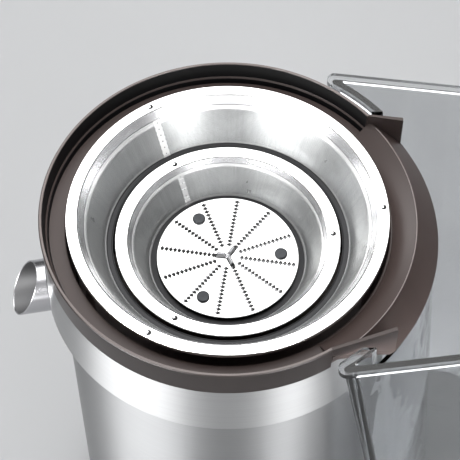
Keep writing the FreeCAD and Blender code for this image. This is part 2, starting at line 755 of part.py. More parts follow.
RIM = size("flange_level - bin_rim_drop")
FLOOR = size("bin_floor")
WALL = size("bin_wall")
LIP = size("bin_lip")
CORNER = size("bin_corner")
FAR_CORNER = size("bin_far_corner")
shell = Part.makeLoft([bin_outline(RIM, 0, 0), bin_outline(0, 1, 0)], True, True)
shell = rounded(shell, CORNER, FAR_CORNER)
lip_foot = RIM - size("bin_lip_height")
lip = Part.Face(bin_outline(lip_foot, 0, -LIP)).extrude(FreeCAD.Vector(0, 0, RIM - lip_foot))
lip = rounded(lip, CORNER + LIP, FAR_CORNER + LIP)
at_floor = 1 - FLOOR / RIM
hollow = Part.makeLoft([bin_outline(RIM + 0.01, 0, WALL), bin_outline(FLOOR, at_floor, WALL)], True, True)
hollow = rounded(hollow, size("bin_inner_corner"), FAR_CORNER - WALL)
notch_foot = size("flange_level - bin_notch_drop")
notch = Part.makeBox(90, size("bin_notch_near + bin_notch_far"), 60,
                     FreeCAD.Vector(40, -size("bin_notch_near"), notch_foot))
node(solid_feature("bin_shell", shell.fuse(lip).cut(hollow).cut(notch).removeSplitter()), "pulp_bin")

# Motor base.
revolved("foot_ring", [
    ("foot_bore", "0"),
    ("housing_foot_radius - 1", "0"),
    ("housing_foot_radius", "1"),
    ("housing_foot_radius", "foot_height"),
    ("foot_bore", "foot_height"),
])
HOUSING_SLOPE = f"(housing_top_radius - housing_foot_radius)/({HOUSING_TOP} - foot_height)"


def housing_bore(level):
    return f"housing_foot_radius - housing_wall + (({level}) - foot_height)*{HOUSING_SLOPE}"


tray_body = new_body("base_tray_body")
TRAY_TOP = "foot_height + tray_floor"
TRAY_EDGE = "housing_foot_radius - housing_wall - fit_gap"
revolve(tray_body, "tray", [
    ("tray_bore", "foot_height"),
    (TRAY_EDGE, "foot_height"),
    (TRAY_EDGE, f"{TRAY_TOP} + tray_rim_rise"),
    (f"{TRAY_EDGE} - tray_rim_wall", f"{TRAY_TOP} + tray_rim_rise"),
    (f"{TRAY_EDGE} - tray_rim_wall", TRAY_TOP),
    ("tray_bore", TRAY_TOP),
])
vent = pad(tray_body, "vent", [
    ("vent_inner_radius", "0 - vent_width/2"),
    ("vent_outer_radius", "0 - vent_width/2"),
    ("vent_outer_radius", "vent_width/2"),
    ("vent_inner_radius", "vent_width/2"),
], "foot_height - 1", f"{TRAY_TOP} + 1", "PartDesign::Pocket")
polar(tray_body, "vents", vent, "vent_count")
screw_holes = gather("tray_screw_holes", ring_of(
    "tray_screw_hole",
    lambda label, x, y: cylinder(label, "2.2", "tray_floor + 2", (x, y, "foot_height - 1")),
    "foot_bore - 8", 4, "15"))
node(cut("base_tray", tray_body, screw_holes), "base_tray")
node(gather("tray_screws", ring_of(
    "tray_screw",
    lambda label, x, y: gather(label, [
        cylinder(f"{label}_stem", "2.2", "tray_floor + 12", (x, y, "foot_height")),
        cylinder(f"{label}_head", "4.4", "2.4", (x, y, "foot_height - 2.4")),
    ], "Part::MultiFuse"),
    "foot_bore - 8", 4, "15")), "tray_screws")

CROWN_FOOT = f"{HOUSING_TOP} - crown_height"
CROWN_BORE = housing_bore(CROWN_FOOT)
housing_body = new_body("base_housing_body")
revolve(housing_body, "housing", [
    ("housing_foot_radius", "foot_height"),
    (f"{CROWN_BORE} + housing_wall", CROWN_FOOT),
    (CROWN_BORE, CROWN_FOOT),
    ("housing_foot_radius - housing_wall", "foot_height"),
])
crown_body = new_body("housing_crown_body")
revolve(crown_body, "crown", [
    (f"{CROWN_BORE} + housing_wall", CROWN_FOOT),
    ("housing_top_radius", HOUSING_TOP),
    ("housing_top_radius - housing_wall", HOUSING_TOP),
    (CROWN_BORE, CROWN_FOOT),
])
spout_notch = solid_feature("spout_notch", spout_run(
    size("spout_radius + gasket_width + notch_clearance"), size("housing_top_radius - 11"), 20))
panel_hole = box("panel_hole", ("panel_width", "40", "panel_height"),
                 ("0 - panel_width/2", "0 - 120", "panel_level - panel_height/2"))
gland_hole = cylinder("gland_hole", "gland_radius", "60", ("0", "70", "gland_level"), TURN_TO_BACK)
openings = gather("housing_openings", [panel_hole, gland_hole])
node(cut("base_housing", housing_body, openings), "base_housing")
node(cut("housing_crown", crown_body, spout_notch), "housing_crown")

DECK_UNDER = "deck_level - deck_thickness"
DECK_EDGE = f"{housing_bore(DECK_UNDER)} - fit_gap"
POST_FOOT = "upper_bell_level + damper_radius"
deck_body = new_body("base_deck_body")
revolve(deck_body, "deck", [
    ("shaft_tip_radius + 3", DECK_UNDER),
    (DECK_EDGE, DECK_UNDER),
    (DECK_EDGE, "deck_level"),
    ("deck_boss_radius", "deck_level"),
    ("deck_boss_radius", "deck_level + deck_boss_rise"),
    ("shaft_tip_radius + 3", "deck_level + deck_boss_rise"),
])
posts = ring_of(
    "deck_post",
    lambda label, x, y: cylinder(label, "damper_radius", f"{DECK_UNDER} - ({POST_FOOT}) + 1",
                                 (x, y, POST_FOOT)),
    "damper_circle", 4, "45")
deck_solid = gather("deck_solid", [deck_body] + posts, "Part::MultiFuse")
bolt_bores = gather("bolt_bores", ring_of(
    "bolt_bore",
    lambda label, x, y: cylinder(label, "damper_bore", "damper_radius + 7.5", (x, y, "upper_bell_level")),
    "damper_circle", 4, "45"))
node(cut("base_deck", deck_solid, bolt_bores), "base_deck")
revolved("shaft_seal", [
    ("shaft_tip_radius + seal_gap", f"{DECK_UNDER} + 2"),
    ("shaft_tip_radius + 3", f"{DECK_UNDER} + 2"),
    ("shaft_tip_radius + 3", "deck_level + deck_boss_rise - 1"),
    ("shaft_tip_radius + seal_gap", "deck_level + deck_boss_rise - 1"),
])
node(gather("motor_dampers", ring_of(
    "motor_damper",
    lambda label, x, y: cut(label, cylinder(f"{label}_block", "damper_radius + 1", "damper_radius",
                                            (x, y, "upper_bell_level")),
                            cylinder(f"{label}_bore", "damper_bore", "damper_radius",
                                     (x, y, "upper_bell_level"))),
    "damper_circle", 4, "45")), "motor_dampers")
BOLT_FOOT = "upper_bell_level - bell_plate"
node(gather("motor_bolts", ring_of(
    "motor_bolt",
    lambda label, x, y: gather(label, [
        cylinder(f"{label}_stem", "damper_bore", "bell_plate + damper_radius + 7", (x, y, BOLT_FOOT)),
        cylinder(f"{label}_head", "bolt_head_radius", "bolt_head_rise",
                 (x, y, f"{BOLT_FOOT} - bolt_head_rise")),
    ], "Part::MultiFuse"),
    "damper_circle", 4, "45")), "motor_bolts")

revolved("motor_stator", [
    ("stator_bore", "stator_foot_level"),
    ("stator_radius", "stator_foot_level"),
    ("stator_radius", STATOR_TOP),
    ("stator_bore", STATOR_TOP),
])
windings = []
for name, foot in (("upper", STATOR_TOP), ("lower", "stator_foot_level - winding_height")):
    body = new_body(f"{name}_winding")
    revolve(body, f"{name}_coil", [
        ("winding_bore", foot),
        ("winding_outer_radius", foot),
        ("winding_outer_radius", f"{foot} + winding_height"),
        ("winding_bore", f"{foot} + winding_height"),
    ])
    windings.append(body)
node(gather("stator_windings", windings), "stator_windings")

UPPER_SEAT = "upper_bell_level - bell_plate - bearing_height"
upper_body = new_body("upper_bracket_body")
revolve(upper_body, "upper_bell", [
    ("shaft_radius + 3", "upper_bell_level"),
    ("bell_flange_radius", "upper_bell_level"),
    ("bell_flange_radius", BOLT_FOOT),
    ("stator_radius", BOLT_FOOT),
    ("stator_radius", STATOR_TOP),
    ("stator_radius - bell_wall", STATOR_TOP),
    ("stator_radius - bell_wall", BOLT_FOOT),
    ("bearing_radius + bearing_seat_wall", BOLT_FOOT),
    ("bearing_radius + bearing_seat_wall", UPPER_SEAT),
    ("bearing_radius", UPPER_SEAT),
    ("bearing_radius", BOLT_FOOT),
    ("shaft_radius + 3", BOLT_FOOT),
])
upper_window = pad(upper_body, "upper_window", [
    ("stator_radius - bell_wall - 1", "0 - window_width/2"),
    ("stator_radius + 1", "0 - window_width/2"),
    ("stator_radius + 1", "window_width/2"),
    ("stator_radius - bell_wall - 1", "window_width/2"),
], f"{STATOR_TOP} + 6", f"{BOLT_FOOT} - 6", "PartDesign::Pocket")
polar(upper_body, "upper_windows", upper_window, "window_count")
node(cut("upper_bracket", upper_body, gather("upper_bolt_holes", ring_of(
    "upper_bolt_hole",
    lambda label, x, y: cylinder(label, "damper_bore", "bell_plate + 2", (x, y, f"{BOLT_FOOT} - 1")),
    "damper_circle", 4, "45"))), "upper_bracket")

LOWER_PLATE = "lower_bell_level + bell_plate"
lower_body = new_body("lower_bracket_body")
revolve(lower_body, "lower_bell", [
    ("shaft_radius + 3", "lower_bell_level"),
    ("stator_radius", "lower_bell_level"),
    ("stator_radius", "stator_foot_level"),
    ("stator_radius - bell_wall", "stator_foot_level"),
    ("stator_radius - bell_wall", LOWER_PLATE),
    ("bearing_radius + bearing_seat_wall", LOWER_PLATE),
    ("bearing_radius + bearing_seat_wall", f"{LOWER_PLATE} + bearing_height"),
    ("bearing_radius", f"{LOWER_PLATE} + bearing_height"),
    ("bearing_radius", LOWER_PLATE),
    ("shaft_radius + 3", LOWER_PLATE),
])
lower_window = pad(lower_body, "lower_window", [
    ("stator_radius - bell_wall - 1", "0 - window_width/2"),
    ("stator_radius + 1", "0 - window_width/2"),
    ("stator_radius + 1", "window_width/2"),
    ("stator_radius - bell_wall - 1", "window_width/2"),
], f"{LOWER_PLATE} + 6", "stator_foot_level - 6", "PartDesign::Pocket")
polar(lower_body, "lower_windows", lower_window, "window_count")
node(lower_body, "lower_bracket")

for name, foot in (("upper_bearing", UPPER_SEAT), ("lower_bearing", LOWER_PLATE)):
    revolved(name, [
        ("shaft_radius + shaft_running_gap", foot),
        ("bearing_radius", foot),
        ("bearing_radius", f"{foot} + bearing_height"),
        ("shaft_radius + shaft_running_gap", f"{foot} + bearing_height"),
    ])

CAP_X = "capacitor_circle*cos(35)"
CAP_Y = "capacitor_circle*sin(35)"
node(cylinder("capacitor_can", "capacitor_radius", "capacitor_height", (CAP_X, CAP_Y, TRAY_TOP)),
     "run_capacitor")
node(box("terminal_body", ("34", "18", "26"), ("0 - 17", "66", TRAY_TOP)), "terminal_block")
gland_face = f"{housing_bore('gland_level')} + housing_wall"
gland_solid = gather("gland_solid", [
    cylinder("gland_barrel", "gland_radius", "gland_proud + 10",
             ("0", f"{gland_face} - 10", "gland_level"), TURN_TO_BACK),
    cylinder("gland_nut", "gland_radius + 4", "5",
             ("0", f"{gland_face} + 0.1", "gland_level"), TURN_TO_BACK),
], "Part::MultiFuse")
node(cut("cord_gland", gland_solid,
         cylinder("gland_way", "gland_bore", "60", ("0", "70", "gland_level"), TURN_TO_BACK)),
     "cord_gland")

START_LEVEL = "panel_level + button_spacing/2"
STOP_LEVEL = "panel_level - button_spacing/2"
PANEL_BACK = "panel_depth - panel_face"
panel_block = box("panel_block", ("panel_width", "panel_depth", "panel_height"),
                  ("0 - panel_width/2", "0 - panel_face", "panel_level - panel_height/2"))
button_holes = gather("button_holes", [
    cylinder(f"{name}_hole", "button_radius + button_clearance", "panel_depth + 4",
             ("0", "0 - panel_face - 2", level), TURN_TO_BACK)
    for name, level in (("start", START_LEVEL), ("stop", STOP_LEVEL))])
node(cut("control_panel", panel_block, button_holes), "control_panel")
BUTTON_FACE = "0 - panel_face - button_proud"
for name, level in (("start_button", START_LEVEL), ("stop_button", STOP_LEVEL)):
    node(cylinder(f"{name}_cap", "button_radius", "button_length", ("0", BUTTON_FACE, level),
                  TURN_TO_BACK), name)
node(gather("contact_pair", [
    box(f"{name}_contact", ("26", "14", "26"),
        ("0 - 13", f"{BUTTON_FACE} + button_length + contact_gap", f"{level} - 13"))
    for name, level in (("start", START_LEVEL), ("stop", STOP_LEVEL))]), "contact_blocks")
node(box("safety_case", ("30", "14", "12"), ("0 - 15", "0 - 93.5", f"{DECK_UNDER} - 12")),
     "safety_switch")

# Rotor, its fan and the drive coupling.
COUPLING_FOOT = f"{COUPLING_TOP} - coupling_height"
revolved("motor_shaft", [
    ("0", "shaft_foot_level"),
    ("shaft_radius", "shaft_foot_level"),
    ("shaft_radius", "upper_bell_level + 1"),
    ("shaft_tip_radius", "upper_bell_level + 1"),
    ("shaft_tip_radius", f"{COUPLING_TOP} - 2"),
    ("0", f"{COUPLING_TOP} - 2"),
])
revolved("rotor_core", [
    ("shaft_radius", "stator_foot_level + 2"),
    ("stator_bore - rotor_gap", "stator_foot_level + 2"),
    ("stator_bore - rotor_gap", f"{STATOR_TOP} - 2"),
    ("shaft_radius", f"{STATOR_TOP} - 2"),
])
end_rings = []
for name, foot in (("upper", f"{STATOR_TOP} - 2"), ("lower", "stator_foot_level + 2 - rotor_end_ring")):
    body = new_body(f"{name}_end_ring")
    revolve(body, f"{name}_end", [
        ("stator_bore - 12", foot),
        ("stator_bore - rotor_gap - 1", foot),
        ("stator_bore - rotor_gap - 1", f"{foot} + rotor_end_ring"),
        ("stator_bore - 12", f"{foot} + rotor_end_ring"),
    ])
    end_rings.append(body)
node(gather("rotor_end_rings", end_rings), "rotor_end_rings")

fan_body = new_body("cooling_fan_body")
FAN_FOOT = f"{LOWER_PLATE} + bearing_height + 2"
revolve(fan_body, "fan_hub", [
    ("shaft_radius", FAN_FOOT),
    ("fan_radius", FAN_FOOT),
    ("fan_radius", f"{FAN_FOOT} + fan_blade"),
    ("shaft_radius + 6", f"{FAN_FOOT} + fan_blade"),
    ("shaft_radius + 6", f"{FAN_FOOT} + fan_height"),
    ("shaft_radius", f"{FAN_FOOT} + fan_height"),
])
fan_vane = pad(fan_body, "fan_vane", [
    ("shaft_radius + 4", "0 - fan_blade/2"),
    ("fan_radius - 1", "0 - fan_blade/2"),
    ("fan_radius - 1", "fan_blade/2"),
    ("shaft_radius + 4", "fan_blade/2"),
], FAN_FOOT, f"{FAN_FOOT} + fan_height")
polar(fan_body, "fan_vanes", fan_vane, "fan_blade_count")
node(fan_body, "cooling_fan")

coupling_body = new_body("drive_coupling_body")
pad(coupling_body, "coupling_hex", hexagon("coupling_flats"),
    f"{COUPLING_FOOT} + coupling_collar", COUPLING_TOP)
revolve(coupling_body, "coupling_collar", [
    ("0", COUPLING_FOOT),
    ("coupling_flats/2 + 3", COUPLING_FOOT),
    ("coupling_flats/2 + 3", f"{COUPLING_FOOT} + coupling_collar"),
    ("0", f"{COUPLING_FOOT} + coupling_collar"),
])
node(cut("drive_coupling", coupling_body,
         cylinder("coupling_bore", "shaft_tip_radius", "coupling_height - 2",
                  ("0", "0", COUPLING_FOOT))), "drive_coupling")

doc.recompute()
for thing in NODES:
    shape = thing.Shape
    if "Invalid" in thing.State or "Error" in thing.State or shape.isNull() or not shape.isValid():
        raise RuntimeError(f"{thing.Label}: {thing.State}")
    if not shape.Solids:
        raise RuntimeError(f"{thing.Label}: no solid")
    shape.exportStep(f"parts/{thing.Label}.step")
    limits = shape.BoundBox
    spans = (limits.XMin, limits.XMax, limits.YMin, limits.YMax, limits.ZMin, limits.ZMax)
    spans = [round(v, 1) for v in spans]
    print(thing.Label, len(shape.Solids), round(shape.Volume), len(shape.Faces), spans)
print("nodes", len(NODES))
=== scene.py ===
import bpy
import math
from mathutils import Matrix, Vector


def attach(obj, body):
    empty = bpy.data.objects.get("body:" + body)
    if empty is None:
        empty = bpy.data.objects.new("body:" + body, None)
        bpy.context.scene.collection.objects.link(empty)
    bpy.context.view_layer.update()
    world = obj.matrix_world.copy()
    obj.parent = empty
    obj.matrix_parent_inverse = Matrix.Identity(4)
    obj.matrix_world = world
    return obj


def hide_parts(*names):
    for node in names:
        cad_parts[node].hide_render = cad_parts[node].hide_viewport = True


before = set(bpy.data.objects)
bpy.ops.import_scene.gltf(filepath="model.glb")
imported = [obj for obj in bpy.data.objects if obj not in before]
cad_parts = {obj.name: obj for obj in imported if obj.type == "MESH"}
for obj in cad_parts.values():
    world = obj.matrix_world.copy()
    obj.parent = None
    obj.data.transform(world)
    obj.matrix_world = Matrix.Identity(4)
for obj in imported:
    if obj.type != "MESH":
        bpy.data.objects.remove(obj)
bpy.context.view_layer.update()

# Sizes are in millimetres, angles in degrees, and profiles are (radius, height) points.
MM = 0.001
TURN = 2 * math.pi
UP = Vector((0, 0, 1))
TO_FRONT = Matrix.Rotation(math.pi / 2, 4, "X")
TO_BACK = Matrix.Rotation(-math.pi / 2, 4, "X")

# Places nearer than this, in metres, count as one.
SAME_CORNER = 1e-7
SAME_PLACE = 1e-6
SAME_CAD_PLACE = 2e-6

FLANGE_LEVEL = 318
DISC_TOP = 273.1


# Working by hand: selecting, opening a mesh for editing, and finishing it.

def put_down_tools():
    """Go back to object mode with nothing selected."""
    if bpy.context.object and bpy.context.object.mode != "OBJECT":
        bpy.ops.object.mode_set(mode="OBJECT")
    bpy.ops.object.select_all(action="DESELECT")


def pick(piece):
    """Select one piece and make it the active one."""
    put_down_tools()
    piece.select_set(True)
    bpy.context.view_layer.objects.active = piece


def open_mesh(piece, select="SELECT"):
    """Open a mesh for editing, with all its corners selected or none."""
    pick(piece)
    bpy.ops.object.mode_set(mode="EDIT")
    bpy.ops.mesh.select_mode(type="VERT")
    bpy.ops.mesh.select_all(action=select)


def close_mesh():
    bpy.ops.object.mode_set(mode="OBJECT")


def choose(piece, wanted):
    """Open a mesh with only the corners selected whose place is wanted."""
    open_mesh(piece, "DESELECT")
    close_mesh()
    for vertex in piece.data.vertices:
        vertex.select = wanted(vertex.co)
    bpy.ops.object.mode_set(mode="EDIT")


def press(piece, kind, **settings):
    """Add one modifier and apply it."""
    pick(piece)
    step = piece.modifiers.new(kind.title(), kind)
    for setting, value in settings.items():
        setattr(step, setting, value)
    bpy.ops.object.modifier_apply(modifier=step.name)


def round_edges(piece, width, segments=2, angle=30):
    press(piece, "BEVEL", width=width * MM, segments=segments, limit_method="ANGLE",
          angle_limit=math.radians(angle), use_clamp_overlap=True, harden_normals=False)


def smooth(piece, angle=32):
    """Shade smooth up to an angle; weighted normals keep flat faces flat beside small rounds."""
    pick(piece)
    bpy.ops.object.shade_smooth_by_angle(angle=math.radians(angle))
    press(piece, "WEIGHTED_NORMAL", keep_sharp=True)


def settle(piece):
    """Leave the object at the origin, with its place in its mesh."""
    pick(piece)
    bpy.ops.object.transform_apply(location=True, rotation=True, scale=True)


def lay(piece, place):
    """Put a piece in its place for good."""
    piece.matrix_world = place
    settle(piece)


def tidy_normals(piece):
    """Merge doubled corners and turn every face outward."""
    open_mesh(piece)
    bpy.ops.mesh.remove_doubles(threshold=SAME_PLACE)
    bpy.ops.mesh.normals_make_consistent(inside=False)
    close_mesh()


def joined(pieces):
    """Join pieces into the first of them."""
    put_down_tools()
    for piece in pieces:
        piece.select_set(True)
    bpy.context.view_layer.objects.active = pieces[0]
    bpy.ops.object.join()
    return bpy.context.object


def copies(piece, places, name):
    """Copy a small piece to each place, every copy with its own mesh, and join them."""
    twins = []
    for place in places:
        twin = piece.copy()
        twin.data = piece.data.copy()
        twin.matrix_world = place @ piece.matrix_world
        bpy.context.collection.objects.link(twin)
        twins.append(twin)
    bpy.data.objects.remove(piece, do_unlink=True)
    made = joined(twins)
    made.name = name
    settle(made)
    return made


def dress(piece, body, finish, slot, *stands_for):
    """Give a piece its finish and its body, and the nodes it replaces; its slot is not used."""
    piece.data.materials.clear()
    piece.data.materials.append(finish)
    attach(piece, body)
    if stands_for:
        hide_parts(*stands_for)


# Places and outlines.

def at(x, y, z):
    return Matrix.Translation(Vector((x, y, z)) * MM)


def outward(degrees):
    """The level way out from the spindle at an angle."""
    turn = math.radians(degrees)
    return Vector((math.cos(turn), math.sin(turn), 0))


def on_plan(radius, degrees, level):
    """A place at a radius and angle round the spindle, facing outward."""
    return Matrix.Rotation(math.radians(degrees), 4, "Z") @ at(radius, 0, level)


def circle(radius, count):
    turns = [TURN * i / count for i in range(count)]
    return [(radius * math.cos(turn), radius * math.sin(turn)) for turn in turns]


def arch(half_width, rise, y=0.0, steps=6):
    """An upright half-oval outline, facing along Y."""
    turns = [math.pi * i / steps for i in range(steps + 1)]
    return [(half_width * math.cos(turn), y, rise * math.sin(turn)) for turn in turns]


def eased(profile, width, steps=2):
    """Round every corner of a profile by a width, or by less where a side is short."""
    most_of_side = 0.42
    made = []
    for index, point in enumerate(profile):
        corner = Vector(point)
        before = Vector(profile[index - 1]) - corner
        after = Vector(profile[(index + 1) % len(profile)]) - corner
        ease = min(width, before.length * most_of_side, after.length * most_of_side)
        first = corner + before.normalized() * ease
        last = corner + after.normalized() * ease
        for step in range(steps + 1):
            t = step / steps
            made.append(tuple(first * (1 - t) ** 2 + corner * 2 * t * (1 - t) + last * t ** 2))
    return made


# Making shapes.

def draw(name, points, closed=True):
    """Draw a line from point to point, starting from a plane shrunk to one corner."""
    put_down_tools()
    bpy.ops.mesh.primitive_plane_add(size=0.01, location=(0, 0, 0))
    piece = bpy.context.object
    piece.name = name
    open_mesh(piece)
    bpy.ops.mesh.merge(type="CENTER")
    bpy.ops.mesh.select_all(action="SELECT")
    points = [Vector(point) * MM for point in points]
    bpy.ops.transform.translate(value=points[0])
    for here, there in zip(points, points[1:]):
        bpy.ops.mesh.extrude_region_move(TRANSFORM_OT_translate={"value": there - here})
    close_mesh()
    if closed:
        ends = (points[0], points[-1])
        choose(piece, lambda place: min((place - end).length for end in ends) < SAME_CORNER)
        bpy.ops.mesh.edge_face_add()
        close_mesh()
    return piece


def filled(name, outline):
    """Draw an outline and fill it with one face."""
    piece = draw(name, outline)
    open_mesh(piece)
    bpy.ops.mesh.edge_face_add()
    close_mesh()
    return piece


def raised(name, outline, height):
    """Fill a drawn outline and pull it up into a solid."""
    piece = filled(name, outline)
    open_mesh(piece)
    bpy.ops.mesh.extrude_region_move(TRANSFORM_OT_translate={"value": (0, 0, height * MM)})
    close_mesh()
    tidy_normals(piece)
    return piece


def turned(name, profile, steps=160, closed=True, first=0.0, sweep=360.0):
    """Draw a profile and spin it about the spindle, closing the ends of a part turn."""
    lie = Matrix.Rotation(math.radians(first), 3, "Z")
    piece = draw(name, [lie @ Vector((r, 0, z)) for r, z in profile], closed)
    open_mesh(piece)
    bpy.ops.mesh.spin(steps=steps, angle=-math.radians(sweep), center=(0, 0, 0), axis=(0, 0, 1))
    close_mesh()
    if sweep < 360:
        for degrees in (first, first + sweep):
            out = outward(degrees)
            across = UP.cross(out)
            choose(piece, lambda place: abs(place.dot(across)) < SAME_PLACE and place.dot(out) > 0)
            bpy.ops.mesh.edge_face_add()
            close_mesh()
    tidy_normals(piece)
    return piece


def close_holes(piece):
    """Close the small holes that a spin leaves at its axis."""
    open_mesh(piece)
    bpy.ops.mesh.fill_holes(sides=0)
    close_mesh()


def thicken(piece):
    """Give a spun line the wall of a very thin sheet."""
    press(piece, "SOLIDIFY", thickness=0.1 * MM, offset=0.0)
    tidy_normals(piece)
    smooth(piece, 40)


def block(size, centre):
    put_down_tools()
    bpy.ops.mesh.primitive_cube_add(size=1)
    piece = bpy.context.object
    open_mesh(piece)
    bpy.ops.transform.resize(value=Vector(size) * MM)
    bpy.ops.transform.translate(value=Vector(centre) * MM)
    close_mesh()
    return piece


def cut_out(piece, cutter):
    """Take one shape out of another, and throw the cutter away."""
    press(piece, "BOOLEAN", operation="DIFFERENCE", object=cutter, solver="EXACT")
    bpy.data.objects.remove(cutter, do_unlink=True)


def bored(piece, radius, length, place):
    """Cut a round hole along the place's own Z."""
    put_down_tools()
    bpy.ops.mesh.primitive_cylinder_add(vertices=96, radius=radius * MM, depth=length * MM)
    drill = bpy.context.object
    drill.matrix_world = place
    bpy.context.view_layer.update()
    cut_out(piece, drill)


def cut_flat(piece, point, normal, close=True):
    """Cut a piece off at a plane, and close the cut or leave it open."""
    open_mesh(piece)
    bpy.ops.mesh.bisect(plane_co=Vector(point) * MM, plane_no=Vector(normal).normalized(),
                        use_fill=close, clear_outer=True)
    close_mesh()
    tidy_normals(piece)


def from_solid(name, node, width, segments):
    """Take a copy of a CAD node, merge it into clean faces and ease its edges."""
    angle = 32
    put_down_tools()
    piece = bpy.data.objects.new(name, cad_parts[node].data.copy())
    piece.data.materials.clear()
    bpy.context.collection.objects.link(piece)
    open_mesh(piece)
    bpy.ops.mesh.remove_doubles(threshold=SAME_CAD_PLACE)
    bpy.ops.mesh.select_all(action="SELECT")
    bpy.ops.mesh.dissolve_limited(angle_limit=math.radians(0.4))
    close_mesh()
    round_edges(piece, width, segments, angle)
    smooth(piece, angle)
    return piece


# Finishes.

class Finish:
    """A material under way: its nodes are added and wired by name."""

    def __init__(self, name, colour, metallic=0.0, roughness=0.5):
        self.material = bpy.data.materials.new(name)
        self.material.use_nodes = True
        self.tree = self.material.node_tree
        self.shader = self.tree.nodes["Principled BSDF"]
        self.set("Base Color", (*colour, 1))
        self.set("Metallic", metallic)
        self.set("Roughness", roughness)
        self.place = self.add("ShaderNodeTexCoord").outputs["Object"]

    def set(self, socket, value):
        self.shader.inputs[socket].default_value = value

    def add(self, kind, **settings):
        made = self.tree.nodes.new(kind)
        for setting, value in settings.items():
            setattr(made, setting, value)
        return made

    def join(self, out, into):
        self.tree.links.new(out, into)

    def sum(self, operation, first, second=None):
        """One step of arithmetic; numbers go straight on the sockets."""
        step = self.add("ShaderNodeMath", operation=operation)
        for socket, value in zip(step.inputs, (first, second)):
            if isinstance(value, (int, float)):
                socket.default_value = value
            elif value is not None:
                self.join(value, socket)
        return step.outputs[0]

    def stretched(self, scale):
        made = self.add("ShaderNodeMapping")
        made.inputs["Scale"].default_value = scale
        self.join(self.place, made.inputs["Vector"])
        return made.outputs[0]

    def noise(self, vector, scale=1.0, detail=3.0):
        made = self.add("ShaderNodeTexNoise")
        made.inputs["Scale"].default_value = scale
        made.inputs["Detail"].default_value = detail
        made.inputs["Roughness"].default_value = 0.55
        self.join(vector, made.inputs["Vector"])
        return made.outputs["Fac"]

    def tint(self, value, low, low_colour, high, high_colour):
        """Colour the surface from one colour at a low value to another at a high one."""
        made = self.add("ShaderNodeValToRGB")
        stops = ((low, low_colour), (high, high_colour))
        for element, (position, colour) in zip(made.color_ramp.elements, stops):
            element.position = position
            element.color = (*colour, 1)
        self.join(value, made.inputs["Fac"])
        self.join(made.outputs["Color"], self.shader.inputs["Base Color"])

    def spread(self, value, low, high):
        """Stretch a value that runs from 0 to 1 over another range."""
        made = self.add("ShaderNodeMapRange")
        made.inputs["To Min"].default_value = low
        made.inputs["To Max"].default_value = high
        self.join(value, made.inputs["Value"])
        return made.outputs["Result"]

    def roughen(self, value, low, high):
        self.join(self.spread(value, low, high), self.shader.inputs["Roughness"])

    def bump(self, value, strength, distance):
        made = self.add("ShaderNodeBump")
        made.inputs["Strength"].default_value = strength
        made.inputs["Distance"].default_value = distance
        self.join(value, made.inputs["Height"])
        self.join(made.outputs["Normal"], self.shader.inputs["Normal"])

    def height(self):
        return self.axes()[2]

    def axes(self):
        parts = self.add("ShaderNodeSeparateXYZ")
        self.join(self.place, parts.inputs[0])
        return parts.outputs

    def squares(self, first, second):
        """The sum of two squares."""
        return self.sum("ADD", self.sum("MULTIPLY", first, first),
                        self.sum("MULTIPLY", second, second))

    def polar(self):
        """Turns round the spindle, from -0.5 to 0.5, and radius and height in metres."""
        x, y, z = self.axes()
        turn = self.sum("DIVIDE", self.sum("ARCTAN2", y, x), TURN)
        return turn, self.sum("SQRT", self.squares(x, y)), z


def shaded(colour, share):
    return tuple(channel * share for channel in colour)


def brushed_round(name, colour, rough):
    """Steel brushed round the base: long level streaks that draw the light out upright."""
    made = Finish(name, colour, 1.0, rough)
    made.set("Anisotropic", 0.86)
    made.set("Anisotropic Rotation", 0.25)
    way = made.add("ShaderNodeTangent", direction_type="RADIAL", axis="Z")
    made.join(way.outputs[0], made.shader.inputs["Tangent"])
    streaks = made.noise(made.stretched((7, 7, 2200)), detail=4.0)
    made.roughen(streaks, rough * 0.92, rough * 1.08)
    scratches = made.noise(made.stretched((16, 16, 2800)), detail=2.0)
    made.bump(scratches, strength=0.04, distance=0.0003)
    tone = made.noise(made.stretched((4, 4, 1500)))
    made.tint(tone, 0.3, shaded(colour, 0.93), 0.7, colour)
    return made.material


def polished(name, colour, rough, metallic=1.0):
    """Bright spun steel with very fine rings."""
    made = Finish(name, colour, metallic, rough)
    turn, radius, _ = made.polar()
    rings = made.add("ShaderNodeCombineXYZ")
    made.join(made.sum("MULTIPLY", radius, 4000), rings.inputs[0])
    made.join(made.sum("MULTIPLY", turn, 14), rings.inputs[1])
    streak = made.noise(rings.outputs[0])
    made.roughen(streak, rough * 0.75, rough * 1.3)
    made.bump(streak, strength=0.02, distance=0.0002)
    return made.material


